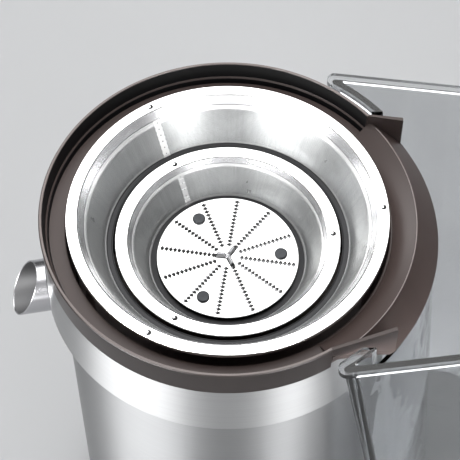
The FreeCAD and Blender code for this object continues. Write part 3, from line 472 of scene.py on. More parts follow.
def perforated(name, holes, low, high):
    """Fine punched sheet: staggered round holes between two levels, painted near black as shade,
    and scuffed in places.
    """
    pitch = 0.64 * MM
    hole_radius = 0.3
    made = Finish(name, (0.5, 0.5, 0.5), 0.55, 0.34)
    turn, _, z = made.polar()
    row = made.sum("DIVIDE", z, pitch)
    odd = made.sum("MULTIPLY", made.sum("MODULO", made.sum("FLOOR", row), 2.0), 0.5)
    column = made.sum("ADD", made.sum("MULTIPLY", turn, holes), odd)
    across = made.sum("SUBTRACT", made.sum("FRACT", column), 0.5)
    along = made.sum("SUBTRACT", made.sum("FRACT", row), 0.5)
    hole = made.sum("LESS_THAN", made.squares(across, along), hole_radius ** 2)
    below = made.sum("LESS_THAN", z, high * MM)
    above = made.sum("GREATER_THAN", z, low * MM)
    open_here = made.sum("MULTIPLY", hole, made.sum("MULTIPLY", below, above))
    sweep = made.add("ShaderNodeCombineXYZ")
    made.join(made.sum("MULTIPLY", turn, 150), sweep.inputs[0])
    streak = made.noise(sweep.outputs[0])
    shade = made.sum("SUBTRACT", 1.0, made.spread(streak, 0.0, 0.36))
    # The holes are painted shade: near black, where the eye would look through into the dim basket.
    sheet = made.sum("SUBTRACT", 1.0, made.sum("MULTIPLY", open_here, 0.88))
    tone = made.sum("MULTIPLY", shade, sheet)
    made.tint(tone, 0.0, (0.02, 0.02, 0.021), 1.0, (0.45, 0.46, 0.46))
    made.roughen(made.noise(made.place, scale=38, detail=4.0), 0.2, 0.44)
    made.bump(made.sum("SUBTRACT", 1.0, open_here), strength=0.3, distance=0.0003)
    return made.material


def moulded(name, colour, rough, grain=900, strength=0.05, coat=0.0, shine=0.5):
    """Moulded plastic: faint mottling and a fine skin."""
    made = Finish(name, colour, 0.0, rough)
    made.set("Specular IOR Level", shine)
    made.set("Coat Weight", coat)
    made.set("Coat Roughness", 0.12)
    made.bump(made.noise(made.place, scale=grain, detail=2.0), strength, distance=0.0002)
    wear = made.noise(made.place, scale=14)
    pale = tuple(channel * 1.14 + 0.002 for channel in colour)
    made.tint(wear, 0.35, colour, 0.75, pale)
    made.roughen(wear, rough * 0.9, rough * 1.15)
    return made.material


def cast(name, colour, rough):
    """Cast or plated metal: small lumps and a patchy tone."""
    made = Finish(name, colour, 1.0, rough)
    lump = made.noise(made.place, scale=420, detail=4.0)
    made.bump(lump, strength=0.2, distance=0.0005)
    made.roughen(lump, rough * 0.85, rough * 1.2)
    patches = made.noise(made.place, scale=60, detail=2.0)
    made.tint(patches, 0.3, shaded(colour, 0.82), 0.7, colour)
    return made.material


def smoky_clear(name):
    """Clear smoky plastic that darkens where the eye looks along a wall."""
    made = Finish(name, (0.78, 0.79, 0.8), 0.0, 0.02)
    made.set("Transmission Weight", 1.0)
    made.set("IOR", 1.45)
    made.roughen(made.noise(made.place, scale=40, detail=4.0), 0.0, 0.012)
    patches = made.noise(made.place, scale=9, detail=2.0)
    made.tint(patches, 0.3, (0.73, 0.74, 0.75), 0.7, (0.8, 0.81, 0.82))
    smoke = made.add("ShaderNodeVolumeAbsorption")
    smoke.inputs["Color"].default_value = (0.3, 0.33, 0.35, 1)
    smoke.inputs["Density"].default_value = 62
    made.join(smoke.outputs["Volume"], made.tree.nodes["Material Output"].inputs["Volume"])
    return made.material


def laminated(name):
    """Stacked motor sheets, seen as fine level lines."""
    sheets_a_metre = 1600
    made = Finish(name, (0.24, 0.24, 0.25), 0.9, 0.45)
    sheet_line = made.sum("FRACT", made.sum("MULTIPLY", made.height(), sheets_a_metre))
    made.bump(sheet_line, strength=0.5, distance=0.0003)
    patches = made.noise(made.place, scale=120, detail=2.0)
    made.tint(patches, 0.3, (0.2, 0.2, 0.21), 0.7, (0.3, 0.3, 0.31))
    return made.material


def wound(name):
    """Varnished copper winding, in strands round the core."""
    made = Finish(name, (0.5, 0.22, 0.1), 0.9, 0.35)
    strands = made.noise(made.stretched((500, 500, 1200)), detail=2.0)
    made.bump(strands, strength=0.6, distance=0.0006)
    made.tint(strands, 0.3, (0.33, 0.13, 0.05), 0.7, (0.62, 0.3, 0.15))
    return made.material


BASE_STEEL = brushed_round("brushed_base_steel", (0.25, 0.253, 0.257), 0.4)
COLLAR_STEEL = brushed_round("brushed_collar_steel", (0.35, 0.353, 0.357), 0.38)
SPOUT_STEEL = polished("polished_spout_steel", (0.44, 0.44, 0.455), 0.24)
# Painted shade: the spout is one steel tube, and this darker, duller steel inside it stands in for
# the shade in the tube.
SPOUT_SHADE_STEEL = polished("painted_shade_spout_steel", (0.13, 0.13, 0.133), 0.5, metallic=0.3)
FLANGE_STEEL = polished("polished_flange_steel", (0.95, 0.95, 0.945), 0.18)
THROAT_STEEL = polished("mirror_throat_steel", (0.6, 0.6, 0.61), 0.22)
BAND_STEEL = polished("bright_band_steel", (0.9, 0.9, 0.9), 0.25, metallic=0.6)
SEAM_STEEL = polished("bright_seam_steel", (0.92, 0.92, 0.91), 0.4, metallic=0.15)
# Near-black steel for the shelf under the inner flange and for the fine groove lines: painted shade
# in the gap and in the grooves.
GAP_SHADE_STEEL = polished("painted_shade_steel", (0.03, 0.03, 0.031), 0.34)
DISC_STEEL = polished("bright_disc_steel", (0.94, 0.94, 0.93), 0.3)
# The grater's scales are punched from the bright disc; this darker steel on them is painted shade.
# The seam's spot welds use it too.
SCALE_STEEL = polished("scale_steel", (0.16, 0.16, 0.165), 0.3)
BLADE_STEEL = polished("blade_steel", (0.3, 0.3, 0.31), 0.22)
# Near-black steel for the disc studs: a painted dark reflection of their domed heads.
STUD_STEEL = cast("painted_dark_stud_steel", (0.045, 0.047, 0.05), 0.4)
OUTER_SIEVE = perforated("outer_sieve_sheet", 690, low=291.4, high=309.6)
INNER_SIEVE = perforated("inner_sieve_sheet", 470, low=271.4, high=287.2)
BOWL_PLASTIC = moulded("taupe_bowl_plastic", (0.066, 0.048, 0.044), 0.34, shine=0.27)
# A paler plastic for a band on the rim's top edge: a painted highlight.
RIM_HIGHLIGHT_PLASTIC = moulded("painted_highlight_rim_plastic", (0.17, 0.135, 0.125), 0.3)
# A paler plastic for a bead along the exit lip's crease: a painted highlight.
CREASE_HIGHLIGHT_PLASTIC = moulded("painted_highlight_crease_plastic", (0.3, 0.25, 0.24), 0.3)
BLACK_PLASTIC = moulded("black_plastic", (0.028, 0.028, 0.029), 0.42)
GLOSS_BLACK = moulded("gloss_black_plastic", (0.004, 0.004, 0.005), 0.45, shine=0.2)
DRIVE_PLASTIC = moulded("drive_plastic", (0.04, 0.04, 0.042), 0.5)
BLACK_RUBBER = moulded("black_rubber", (0.02, 0.02, 0.02), 0.7, grain=1400, strength=0.2)
GREEN_CAP = moulded("green_cap_plastic", (0.02, 0.2, 0.055), 0.28, coat=0.5)
RED_CAP = moulded("red_cap_plastic", (0.38, 0.018, 0.018), 0.28, coat=0.5)
BIN_PLASTIC = smoky_clear("smoky_clear_plastic")
CAST_METAL = cast("cast_aluminium", (0.62, 0.63, 0.64), 0.42)
CARRIER_METAL = cast("dark_carrier", (0.025, 0.025, 0.026), 0.36)
GROUND_STEEL = polished("ground_steel", (0.6, 0.6, 0.6), 0.2)
PLATED = cast("plated_screws", (0.7, 0.7, 0.69), 0.28)
CORE_SHEETS = laminated("core_sheets")
COPPER = wound("varnished_copper")
# Near black for the dents by the flange domes, the grater's mouths and the blade slots: painted
# shade in hollows and holes.
HOLE_SHADE = moulded("painted_hole_shade", (0.01, 0.01, 0.01), 0.8)

NODE_FINISHES = {
    "foot_ring": BLACK_RUBBER, "shaft_seal": BLACK_RUBBER, "motor_dampers": BLACK_RUBBER,
    "spout_gasket": BLACK_RUBBER, "base_tray": BLACK_PLASTIC, "terminal_block": BLACK_PLASTIC,
    "cord_gland": BLACK_PLASTIC, "control_panel": BLACK_PLASTIC, "contact_blocks": BLACK_PLASTIC,
    "safety_switch": BLACK_PLASTIC, "cooling_fan": BLACK_PLASTIC, "base_deck": BLACK_PLASTIC,
    "tray_screws": PLATED, "motor_bolts": PLATED, "base_housing": BASE_STEEL,
    "housing_crown": BASE_STEEL, "bowl_collar": COLLAR_STEEL, "motor_stator": CORE_SHEETS,
    "rotor_core": CORE_SHEETS, "stator_windings": COPPER, "upper_bracket": CAST_METAL,
    "lower_bracket": CAST_METAL, "rotor_end_rings": CAST_METAL, "disc_carrier": CARRIER_METAL,
    "run_capacitor": CAST_METAL, "upper_bearing": GROUND_STEEL, "lower_bearing": GROUND_STEEL,
    "motor_shaft": GROUND_STEEL, "drive_coupling": DRIVE_PLASTIC, "basket_frame": DRIVE_PLASTIC,
    "bowl_rim": BOWL_PLASTIC, "juice_bowl": BOWL_PLASTIC, "bowl_floor": BOWL_PLASTIC,
    "bowl_tower": BOWL_PLASTIC, "exit_lip": BOWL_PLASTIC, "exit_ears": BOWL_PLASTIC,
    "juice_spout": SPOUT_STEEL, "outer_flange_ring": FLANGE_STEEL,
    "inner_flange_ring": FLANGE_STEEL, "shelf_ring": GAP_SHADE_STEEL, "outer_sieve": OUTER_SIEVE,
    "inner_sieve": INNER_SIEVE, "grater_disc": DISC_STEEL, "centre_blades": BLADE_STEEL,
    "disc_rivets": STUD_STEEL, "pulp_bin": BIN_PLASTIC, "start_button": GREEN_CAP,
    "stop_button": RED_CAP,
}
for node, finish in NODE_FINISHES.items():
    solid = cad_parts[node]
    solid.data.materials.clear()
    solid.data.materials.append(finish)


# Bowl: a spun well with its ledge, the rim round nearly three quarters, and the pulp exit.

SPOUT_YAW = 187
SPOUT_FALL = 5
SPOUT_LEVEL, SPOUT_LEVEL_AT = 263, 106

# On plan, where the rim ends at each ear wall, and the way that the exit lip's end faces there.
FAR_END, FAR_FACE = (83.2, 67), (1.9, 19.6, 0)
NEAR_END, NEAR_FACE = (57, -91.3), (12.7, -35.4, 0)
FAR_ANGLE = math.degrees(math.atan2(FAR_END[1], FAR_END[0]))
NEAR_ANGLE = math.degrees(math.atan2(NEAR_END[1], NEAR_END[0]))
EXIT_SPAN = FAR_ANGLE - NEAR_ANGLE
LIP_LEVEL = 310
CREASE = (107.5, 314.95)


def along_spout(start):
    """A place on the spout's axis at a distance from the spindle, its Z running outward."""
    out = outward(SPOUT_YAW)
    fall = math.radians(SPOUT_FALL)
    level = SPOUT_LEVEL - (start - SPOUT_LEVEL_AT) * math.tan(fall)
    way = out * math.cos(fall) - UP * math.sin(fall)
    turn = way.to_track_quat("Z", "Y").to_matrix().to_4x4()
    return Matrix.Translation((out * start + UP * level) * MM) @ turn


def round_rim(name, profile, finish, *stands_for, far_gap=0.0, near_gap=0.0):
    """Spin a profile from the far ear round to the near one, short of each by a small angle."""
    piece = turned(name, profile, steps=140, first=FAR_ANGLE + far_gap,
                   sweep=360 - EXIT_SPAN - far_gap - near_gap)
    smooth(piece, 40)
    dress(piece, "bowl", finish, "bowl_plastic", *stands_for)


well = turned("bowl_well", eased([
    (19, 242), (83.6, 242), (86.4, 242.4), (88.3, 245.2), (94.9, 305.8), (106.4, 305.8),
    (106.5, 307.8), (92.8, 307.8), (86, 250), (81, 245), (21.4, 245), (21.4, 262), (19, 262)], 0.7))
bored(well, radius=15.8, length=40, place=along_spout(88))
tidy_normals(well)
smooth(well)
dress(well, "bowl", BOWL_PLASTIC, "bowl_plastic", "juice_bowl", "bowl_floor", "bowl_tower")

round_rim("bowl_rim_moulding", eased([
    (102.0, 306.4), (105.5, 306.4), (105.5, 301.6), (106.4, 301.6), (107.2, 321.2),
    (106.6, 321.8), (105.3, 321.8), (103.95, 311.9), (102.95, 311.4), (102.15, 307.8)],
    0.45, steps=3), BOWL_PLASTIC, "bowl_rim")
# A paler band along the rim's top land: a painted highlight line.
round_rim("rim_highlight_band", eased([
    (105.3, 321.6), (106.7, 321.6), (106.6, 321.98), (105.4, 321.98)], 0.1),
    RIM_HIGHLIGHT_PLASTIC, far_gap=0.1, near_gap=0.1)

# The wall inside the rim is lined in black down to the seat, and again below the seat.
for name, low, high in (("rim_wall_lining", (103.88, 311.95), (105.12, 321.3)),
                        ("seat_lining", (102.02, 307.95), (102.78, 311.15))):
    lining = [low, (low[0] + 0.3, low[1]), (high[0] + 0.3, high[1]), high]
    round_rim(name, eased(lining, 0.08), GLOSS_BLACK, far_gap=0.2, near_gap=1.4)

lip = turned("exit_lip_moulding", eased([
    (93.8, 307.7), (107.5, 315), (121.3, 298.8), (119.8, 297.3), (106.9, 312), (106.9, 307.0),
    (94.2, 307.0)], 0.6, steps=3), steps=72, first=NEAR_ANGLE, sweep=EXIT_SPAN)
cut_flat(lip, (*FAR_END, LIP_LEVEL), FAR_FACE)
cut_flat(lip, (*NEAR_END, LIP_LEVEL), NEAR_FACE)
smooth(lip, 40)
dress(lip, "bowl", BOWL_PLASTIC, "bowl_plastic", "exit_lip")

# A thin bead along the crease in paler plastic: a painted highlight line.
bead = turned("crease_bead", [(CREASE[0] + x, CREASE[1] + y) for x, y in circle(0.32, 8)],
              steps=72, first=NEAR_ANGLE + 6, sweep=EXIT_SPAN - 9)
smooth(bead, 60)
dress(bead, "bowl", CREASE_HIGHLIGHT_PLASTIC, "bowl_plastic")

ears = from_solid("exit_ear_pair", "exit_ears", width=0.55, segments=3)
dress(ears, "bowl", BOWL_PLASTIC, "bowl_plastic", "exit_ears")


# Collar and spout.

MOUTH_LEVEL = 262
MOUTH_LEAN = math.radians(27)

collar = turned("collar_band", eased([
    (105.3, 305.8), (107.4, 261.3), (96, 261.3), (96, 262.3), (106.4, 262.3), (104.3, 305.8)],
    0.45, steps=3))
bored(collar, radius=16.6, length=40, place=along_spout(104))
tidy_normals(collar)
smooth(collar)
dress(collar, "bowl", COLLAR_STEEL, "brushed_steel", "bowl_collar")


def pipe(name, finish, *stands_for, radius, wall, start, reach):
    """A tube along the spout, cut off at its leaning mouth."""
    longer_than_needed = 60
    tube = turned(name, [(radius, 0), (radius, longer_than_needed)], steps=96, closed=False)
    lay(tube, along_spout(start))
    out = outward(SPOUT_YAW)
    cut_flat(tube, out * reach + UP * MOUTH_LEVEL,
             out * math.cos(MOUTH_LEAN) + UP * math.sin(MOUTH_LEAN), close=False)
    press(tube, "SOLIDIFY", thickness=wall * MM, offset=-1.0)
    tidy_normals(tube)
    round_edges(tube, min(0.3, wall / 3), segments=3, angle=50)
    smooth(tube, 40)
    dress(tube, "bowl", finish, "spout_steel", *stands_for)


pipe("spout_pipe", SPOUT_STEEL, "juice_spout", radius=15.5, wall=0.8, start=95, reach=120.3)
# A thin dark sheet just inside the spout: painted shade for the dim inside of the tube.
pipe("spout_inner_shade", SPOUT_SHADE_STEEL, radius=14.65, wall=0.1, start=95.5, reach=120.1)

gasket = turned("spout_seal", eased([
    (15.5, 0), (16.9, 0), (16.9, 7.8), (16.3, 8.6), (15.5, 8.6)], 0.3), steps=96)
lay(gasket, along_spout(97))
smooth(gasket)
dress(gasket, "bowl", BLACK_RUBBER, "rubber", "spout_gasket")


# What both baskets have: a bright flange, and a conical sieve with its bands and its seam.

# Each cone's foot and top.
OUTER_CONE = ((70.3, 290.2), (82.35, 312.6))
INNER_CONE = ((45.4, 270.0), (56.08, 289.4))
SEAM_ANGLE = 121
DIMPLE_ANGLES = (3, 121, 241)


def seam_place(cone, share, inward):
    """A place up a sieve's seam: X round the cone, Y up its slope, Z toward the spindle."""
    out = outward(SEAM_ANGLE)
    low, high = (out * radius + UP * level for radius, level in cone)
    up = (high - low).normalized()
    around = out.cross(UP)
    face = around.cross(up)
    lie = Matrix((around, up, face)).transposed().to_4x4()
    return Matrix.Translation((low.lerp(high, share) + face * inward) * MM) @ lie


def saw_band(name, body, cone, low, high, teeth, depth, saw_at_top=False):
    """A thin bright band between two shares of a sieve's slope, with one saw-tooth edge."""
    proud = 0.12
    foot, top = (Vector(end) for end in cone)
    slope = (top - foot).normalized()
    lift = Vector((-slope.y, slope.x)) * proud
    ends = [foot.lerp(top, share) + lift for share in (low, high)]
    band = turned(name, ends, steps=teeth * 2, closed=False)
    edge = ends[1] if saw_at_top else ends[0]
    step = TURN / (teeth * 2)
    choose(band, lambda place: abs(place.z - edge.y * MM) < SAME_PLACE
           and round(math.atan2(place.y, place.x) / step) % 2 == 0)
    bite = slope * (-depth if saw_at_top else depth)
    grow = 1 + bite.x / edge.x
    bpy.ops.transform.translate(value=(0, 0, bite.y * MM))
    bpy.ops.transform.resize(value=(grow, grow, 1), center_override=(0, 0, 0))
    close_mesh()
    thicken(band)
    dress(band, body, BAND_STEEL, "sieve_sheet")


def seam(name, body, cone, width, finish):
    """The sieve's lapped seam: a ragged strip up the slope with a row of spot welds."""
    sheet = 0.14
    notch_pitch, notch_depth = 1.6, 0.32
    weld_pitch, weld_radius, weld_proud = 4.2, 0.42, 0.26
    length = (Vector(cone[1]) - Vector(cone[0])).length
    notches = max(6, round(length / notch_pitch))
    left = [(notch_depth * (i % 2) - width / 2, length * i / notches, 0)
            for i in range(notches + 1)]
    right = [(-x, y, z) for x, y, z in reversed(left)]
    strip = raised(name, left + right, sheet)
    lay(strip, seam_place(cone, 0, sheet))
    dress(strip, body, finish, "sieve_sheet")
    put_down_tools()
    bpy.ops.mesh.primitive_uv_sphere_add(segments=10, ring_count=6, radius=weld_radius * MM)
    weld = bpy.context.object
    open_mesh(weld)
    bpy.ops.transform.resize(value=(1, 1, 0.4))
    close_mesh()
    spots = max(4, round(length / weld_pitch))
    places = [seam_place(cone, (i + 0.5) / spots, weld_proud) for i in range(spots)]
    welds = copies(weld, places, f"{name}_welds")
    smooth(welds, 60)
    dress(welds, body, SCALE_STEEL, "sieve_sheet")


def flange(name, body, node, profile, dimple_circle, level):
    """A bright spun ring with three small domes, each on a dark disc: the painted shade of a dent.
    """
    dome_radius, dent_radius, dent_height = 1.0, 1.75, 0.07
    sunk = 0.03
    off_centre = at(-0.55, 0.5, 0)
    ring = turned(name, eased(profile, 0.5, steps=3), steps=192)
    smooth(ring, 40)
    dress(ring, body, FLANGE_STEEL, "polished_steel", node)
    put_down_tools()
    bpy.ops.mesh.primitive_uv_sphere_add(segments=16, ring_count=10, radius=dome_radius * MM)
    dome = bpy.context.object
    open_mesh(dome)
    bpy.ops.mesh.bisect(plane_co=(0, 0, 0), plane_no=UP, clear_inner=True)
    bpy.ops.mesh.select_all(action="SELECT")
    bpy.ops.transform.resize(value=(1, 1, 0.5), center_override=(0, 0, 0))
    close_mesh()
    spots = [on_plan(dimple_circle, turn, level - sunk) for turn in DIMPLE_ANGLES]
    dimples = copies(dome, [off_centre @ spot for spot in spots], f"{name}_dimples")
    smooth(dimples, 60)
    dress(dimples, body, FLANGE_STEEL, "polished_steel")
    # Each dent is a flat dark disc: painted shade.
    dent = raised("dent", [(x, y, 0) for x, y in circle(dent_radius, 16)], dent_height)
    dents = copies(dent, spots, f"{name}_dents")
    dress(dents, body, HOLE_SHADE, "polished_steel")


def flange_throat(name, body, top, foot):
    """The mirror-bright slope inside a flange."""
    slope = turned(name, [top, foot], steps=192, closed=False)
    thicken(slope)
    dress(slope, body, THROAT_STEEL, "polished_steel")


def groove(name, body, radius, level):
    """A fine dark line round bright steel: painted shade in a groove."""
    inner, outer, top = radius - 0.2, radius + 0.2, level + 0.05
    line = turned(name, [(inner, level), (outer, level), (outer, top), (inner, top)], steps=192)
    dress(line, body, GAP_SHADE_STEEL, "polished_steel")


# Outer basket, with the shelf that the inner one stands on.

flange("outer_flange", "outer_basket", "outer_flange_ring", [
    (85.25, 318), (91.7, 318), (92, 317.7), (92, 315.5), (91.2, 315.5), (91.2, 317.2),
    (85.9, 317.2), (83.15, 312.6), (82.3, 312.6)], dimple_circle=88.9, level=FLANGE_LEVEL)
flange_throat("outer_flange_throat", "outer_basket", top=(84.98, 317.72), foot=(82.3, 312.81))
groove("outer_flange_groove", "outer_basket", radius=85.6, level=FLANGE_LEVEL)
groove("outer_collar_groove", "outer_basket", radius=82.25, level=312.62)
saw_band("outer_sieve_border", "outer_basket", OUTER_CONE, low=0.86, high=0.995,
         teeth=210, depth=0.9)
saw_band("outer_sieve_foot_band", "outer_basket", OUTER_CONE, low=0.01, high=0.05,
         teeth=210, depth=0.3, saw_at_top=True)
seam("outer_sieve_seam", "outer_basket", OUTER_CONE, width=4.6, finish=SEAM_STEEL)
# The shelf is near black: painted shade in the narrow gap below the inner basket's flange.
shelf = turned("basket_shelf", eased([
    (66.6, 289.2), (70.95, 289.2), (70.95, 290.2), (70.2, 290.2), (69.9, 289.9), (67.4, 289.9),
    (67.1, 290.2), (66.6, 290.2)], 0.2))
smooth(shelf)
dress(shelf, "outer_basket", GAP_SHADE_STEEL, "polished_steel", "shelf_ring")


# Inner basket: its flange, sieve bands, the grating disc, studs and centre blades.

INNER_FLANGE_LEVEL = 292.7

flange("inner_flange", "inner_basket", "inner_flange_ring", [
    (57.9, 292.7), (65, 292.7), (65.3, 292.4), (65.3, 290.8), (64.5, 290.8), (64.5, 291.9),
    (58.5, 291.9), (56.9, 289.4), (56.05, 289.4)], dimple_circle=61.3, level=INNER_FLANGE_LEVEL)
flange_throat("inner_flange_throat", "inner_basket", top=(57.7, 292.55), foot=(56.02, 289.55))
groove("inner_flange_groove", "inner_basket", radius=58.2, level=INNER_FLANGE_LEVEL)
groove("inner_collar_groove", "inner_basket", radius=56.0, level=289.42)
saw_band("inner_sieve_border", "inner_basket", INNER_CONE, low=0.88, high=0.995,
         teeth=150, depth=0.7)
saw_band("inner_sieve_foot_band", "inner_basket", INNER_CONE, low=0.01, high=0.07,
         teeth=150, depth=0.3, saw_at_top=True)
seam("inner_sieve_seam", "inner_basket", INNER_CONE, width=3.8, finish=BAND_STEEL)

plate = turned("grater_plate", eased([
    (0.3, 272), (41.7, 272), (41.7, 272.9), (41.4, DISC_TOP), (0.3, DISC_TOP)], 0.25), steps=192)
close_holes(plate)
smooth(plate, 40)
dress(plate, "inner_basket", DISC_STEEL, "grater_steel", "grater_disc")

TOOTH_ROWS, FIRST_ROW_ANGLE = 12, 21
TEETH_A_ROW, FIRST_TOOTH_RADIUS, TOOTH_PITCH = 13, 8.4, 2.55
TOOTH_PLACES = [on_plan(FIRST_TOOTH_RADIUS + TOOTH_PITCH * step,
                        FIRST_ROW_ANGLE + 360 / TOOTH_ROWS * row, DISC_TOP)
                for row in range(TOOTH_ROWS) for step in range(TEETH_A_ROW)]

# A scale: an arched mouth pulled back in two steps to a point on the plate.
scale = draw("scale_arch", arch(1.0, 0.5), closed=False)
open_mesh(scale)
for back, narrow, lower in ((0.7, 0.62, 0.6), (0.9, 0.08, 0.05)):
    bpy.ops.mesh.extrude_region_move(TRANSFORM_OT_translate={"value": (0, -back * MM, 0)})
    bpy.ops.transform.resize(value=(narrow, 1, lower), center_override=(0, 0, 0))
close_mesh()
tidy_normals(scale)
# The scales' dark steel is painted shade.
scales = copies(scale, TOOTH_PLACES, "grater_scales")
smooth(scales, 50)
dress(scales, "inner_basket", SCALE_STEEL, "grater_steel")

# Each mouth: a dark arch just inside the scale, and a dark pit before it on the plate.
# Both are painted shade, standing in for the dark of the punched hole under each scale.
mouth = filled("mouth_arch", arch(0.93, 0.45, y=-0.1))
pit = filled("mouth_pit", [(x, y, 0.03) for x, y in (
    (-1.2, 0), (-1.14, -0.375), (1.14, -0.375), (1.2, 0), (1.08, 0.75), (0.6, 1.5), (0, 2.1875),
    (-0.6, 1.5), (-1.08, 0.75))])
mouths = copies(joined([pit, mouth]), TOOTH_PLACES, "grater_mouths")
dress(mouths, "inner_basket", HOLE_SHADE, "grater_steel")

# Studs: low turned heads with a worn crown.
STUD_CIRCLE, STUD_ANGLES = 31.4, (3, 123, 243)
# Their near-black steel is a painted dark reflection.
stud = turned("stud_head", eased([
    (0.15, 273.0), (3.8, 273.0), (3.8, 274.1), (3.4, 274.5), (1.4, 274.6), (0.15, 274.6)], 0.2),
    steps=36)
close_holes(stud)
studs = copies(stud, [on_plan(STUD_CIRCLE, turn, 0) for turn in STUD_ANGLES], "disc_studs")
tidy_normals(studs)
smooth(studs, 40)
dress(studs, "inner_basket", STUD_STEEL, "rivet_steel", "disc_rivets")

# Centre blades: three hollow-topped tabs in dark slots round a small hub.
TAB_ANGLES = (55, 175, 295)
tab = block(size=(5.6, 2.3, 3.2), centre=(4.0, 0, 0))
choose(tab, lambda place: place.z > 0)
bpy.ops.transform.resize(value=(0.84, 0.5, 1), center_override=(3.4 * MM, 0, 0))
bpy.ops.mesh.inset(thickness=0.2 * MM)
bpy.ops.transform.translate(value=(0, 0, -0.7 * MM))
close_mesh()
round_edges(tab, 0.14)
tabs = copies(tab, [on_plan(0, turn, 274.7) for turn in TAB_ANGLES], "centre_tabs")
smooth(tabs, 40)
dress(tabs, "inner_basket", BLADE_STEEL, "grater_steel", "centre_blades")
# The dark slots are painted shade, standing in for the openings beside the tabs.
slit = raised("blade_slot", [
    (0.9, -1.5, 0), (7.3, -1.5, 0), (7.9, -0.9, 0), (7.9, 0.9, 0), (7.3, 1.5, 0), (0.9, 1.5, 0)],
    0.06)
slits = copies(slit, [on_plan(0, turn, DISC_TOP - 0.02) for turn in TAB_ANGLES], "blade_slots")
dress(slits, "inner_basket", HOLE_SHADE, "grater_steel")
hub = turned("centre_hub", eased([
    (0.2, 273.0), (1.8, 273.0), (1.8, 274.3), (1.3, 274.7), (0.2, 274.7)], 0.2), steps=32)
smooth(hub, 40)
dress(hub, "inner_basket", BLADE_STEEL, "grater_steel")


# Motor base: the brushed shell, foot, controls and cord gland.

START_LEVEL, STOP_LEVEL = 164, 126
PANEL_LEVEL = (START_LEVEL + STOP_LEVEL) / 2
PANEL_HALF_WIDTH, PANEL_HALF_HEIGHT, PANEL_DEPTH = 25, 46, 11
# Where each piece of the controls starts, along Y.
PANEL_BACK, CAP_BACK, BEZEL_BACK = -91, -94.5, -101.1
CORD_LEVEL = 40

shell = turned("base_shell", eased([
    (96.4, 7), (98.8, 261), (97.3, 261), (94.9, 7)], 0.4, steps=3), steps=192)
bored(shell, radius=17.5, length=50, place=along_spout(100))
cut_out(shell, block(size=(2 * PANEL_HALF_WIDTH, 40, 2 * PANEL_HALF_HEIGHT),
                     centre=(0, -100, PANEL_LEVEL)))
bored(shell, radius=9, length=60, place=at(0, 100, CORD_LEVEL) @ TO_BACK)
tidy_normals(shell)
smooth(shell)
dress(shell, "base", BASE_STEEL, "brushed_steel", "base_housing", "housing_crown")

foot = turned("foot_band", eased([
    (84, 0), (95.6, 0), (96.3, 0.8), (96.3, 2.6), (95.7, 2.9), (95.7, 3.5), (96.3, 3.8), (96.3, 7),
    (84, 7)], 0.25))
smooth(foot)
dress(foot, "base", BLACK_RUBBER, "rubber", "foot_ring")

panel = raised("panel_plate", [
    (-PANEL_HALF_WIDTH, -PANEL_HALF_HEIGHT, 0), (PANEL_HALF_WIDTH, -PANEL_HALF_HEIGHT, 0),
    (PANEL_HALF_WIDTH, PANEL_HALF_HEIGHT, 0), (-PANEL_HALF_WIDTH, PANEL_HALF_HEIGHT, 0)],
    PANEL_DEPTH)
choose(panel, lambda place: place.z > PANEL_DEPTH / 2 * MM)
bpy.ops.mesh.inset(thickness=2.4 * MM)
bpy.ops.transform.translate(value=(0, 0, -0.8 * MM))
close_mesh()
lay(panel, at(0, PANEL_BACK, PANEL_LEVEL) @ TO_FRONT)
for level in (START_LEVEL, STOP_LEVEL):
    bored(panel, radius=12.4, length=40, place=at(0, -100, level) @ TO_FRONT)
round_edges(panel, 0.6, segments=3)
smooth(panel, 40)
dress(panel, "base", BLACK_PLASTIC, "black_plastic", "control_panel")

for level, finish, body, slot, node in (
        (START_LEVEL, GREEN_CAP, "start_cap", "green_cap", "start_button"),
        (STOP_LEVEL, RED_CAP, "stop_cap", "red_cap", "stop_button")):
    cap = turned(f"{node}_cap", eased([
        (0.2, 0), (12, 0), (12, 11), (11.4, 11.8), (10, 12), (8.6, 11.7), (4, 11.1), (0.2, 11.0)],
        0.4, steps=3), steps=72)
    close_holes(cap)
    lay(cap, at(0, CAP_BACK, level) @ TO_FRONT)
    smooth(cap, 40)
    dress(cap, body, finish, slot, node)
    bezel = turned(f"{node}_bezel", eased([
        (12.5, 0), (15, 0), (15, 0.5), (13.6, 1.4), (12.5, 1.4)], 0.3), steps=72)
    lay(bezel, at(0, BEZEL_BACK, level) @ TO_FRONT)
    smooth(bezel, 40)
    dress(bezel, "base", PLATED, "black_plastic")

gland = turned("gland_sleeve", eased([
    (4, 0), (9, 0), (9, 10.1), (13, 10.1), (13, 14.2), (12.2, 15), (9, 15), (9, 16.2), (7.8, 16.4),
    (7.8, 17.1), (8.8, 17.3), (8.8, 18.6), (7.5, 18.8), (7.5, 19.5), (8.3, 19.7), (8.3, 21.4),
    (7.6, 22), (4, 22)], 0.25), steps=64)
lay(gland, at(0, 86.7, CORD_LEVEL) @ TO_BACK)
smooth(gland, 40)
dress(gland, "base", BLACK_PLASTIC, "black_plastic", "cord_gland")


# Pulp bin. It casts no shadow, so that the light comes through it as through clear plastic.

bin_wall = from_solid("bin_moulding", "pulp_bin", width=0.7, segments=2)
dress(bin_wall, "bin", BIN_PLASTIC, "smoky_clear", "pulp_bin")
bin_wall.visible_shadow = False


# Studio: sizes here are in metres and power in watts.

def soft_light(name, place, size, power, target=(0, 0, 0.28)):
    put_down_tools()
    bpy.ops.object.light_add(type="AREA", location=place)
    lamp = bpy.context.object
    lamp.name = name
    lamp.data.shape = "RECTANGLE"
    lamp.data.size, lamp.data.size_y = size
    lamp.data.energy = power
    aim = Vector(target) - Vector(place)
    lamp.rotation_euler = aim.to_track_quat("-Z", "Y").to_euler()
    return lamp


soft_light("back_top_box", (-0.15, 1.15, 1.95), (2.2, 1.5), 29, target=(0, 0, 0.3))
soft_light("overhead_box", (0, 0.1, 2.1), (1.0, 1.0), 14)
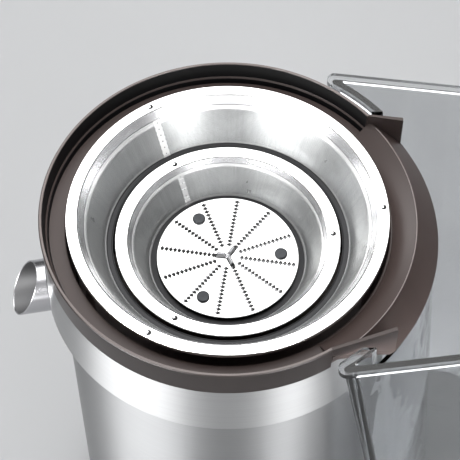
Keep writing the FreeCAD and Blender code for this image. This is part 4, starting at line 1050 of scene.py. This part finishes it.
# Cards that show in bright surfaces but don't light dull ones.
for card in (soft_light("left_back_card", (-1.4, 1.15, 1.25), (0.9, 0.9), 18),
             soft_light("left_front_card", (-1.04, -1.08, 0.75), (1.2, 1.0), 108),
             soft_light("right_front_card", (0.75, -1.3, 0.7), (0.5, 0.9), 46),
             soft_light("front_card", (0.05, -2.3, 0.45), (1.3, 0.6), 4.4)):
    card.visible_diffuse = False

# The air is darker toward the floor and lighter overhead.
world = bpy.data.worlds.new("studio_air")
bpy.context.scene.world = world
world.use_nodes = True
air = world.node_tree
background = air.nodes["Background"]
height = air.nodes.new("ShaderNodeSeparateXYZ")
air.links.new(air.nodes.new("ShaderNodeTexCoord").outputs["Generated"], height.inputs[0])
glow = air.nodes.new("ShaderNodeValToRGB")
glow.color_ramp.elements[0].color = (0.1, 0.1, 0.102, 1)
glow.color_ramp.elements[1].color = (0.62, 0.62, 0.63, 1)
for position, tone in ((0.35, 0.14), (0.75, 0.5)):
    glow.color_ramp.elements.new(position).color = (tone, tone, tone * 1.01, 1)
air.links.new(height.outputs["Z"], glow.inputs["Fac"])

# Straight past the floor's edge the eye sees a pale wall. A Mix node has sockets for each type of
# data under the same names, so its colour sockets are found by number.
MIX_SHARE, MIX_FIRST, MIX_SECOND, MIX_RESULT = 0, 6, 7, 2
path = air.nodes.new("ShaderNodeLightPath")
wall = air.nodes.new("ShaderNodeMix")
wall.data_type = "RGBA"
air.links.new(path.outputs["Is Camera Ray"], wall.inputs[MIX_SHARE])
air.links.new(glow.outputs["Color"], wall.inputs[MIX_FIRST])
wall.inputs[MIX_SECOND].default_value = (0.42, 0.425, 0.43, 1)
air.links.new(wall.outputs[MIX_RESULT], background.inputs["Color"])
background.inputs["Strength"].default_value = 0.8
bpy.context.scene.view_settings.view_transform = "Standard"

put_down_tools()
bpy.ops.mesh.primitive_plane_add(size=8, location=(0, 0, 0))
counter = bpy.context.object
counter.name = "pale_counter"
paint = Finish("pale_counter_paint", (0.52, 0.527, 0.535), 0.0, 0.7)
counter.data.materials.append(paint.material)

# The photo's camera, aimed over the middle of the outer flange.
ELEVATION = math.radians(56.063)
DISTANCE = 1.021185
put_down_tools()
bpy.ops.object.camera_add(
    location=(0, -DISTANCE * math.cos(ELEVATION),
              FLANGE_LEVEL * MM + DISTANCE * math.sin(ELEVATION)),
    rotation=(math.pi / 2 - ELEVATION, 0, 0))
camera = bpy.context.object
camera.data.lens = 140.87
camera.data.sensor_width = 36
camera.data.shift_x = 0.00495
camera.data.shift_y = -0.03524
bpy.context.scene.camera = camera
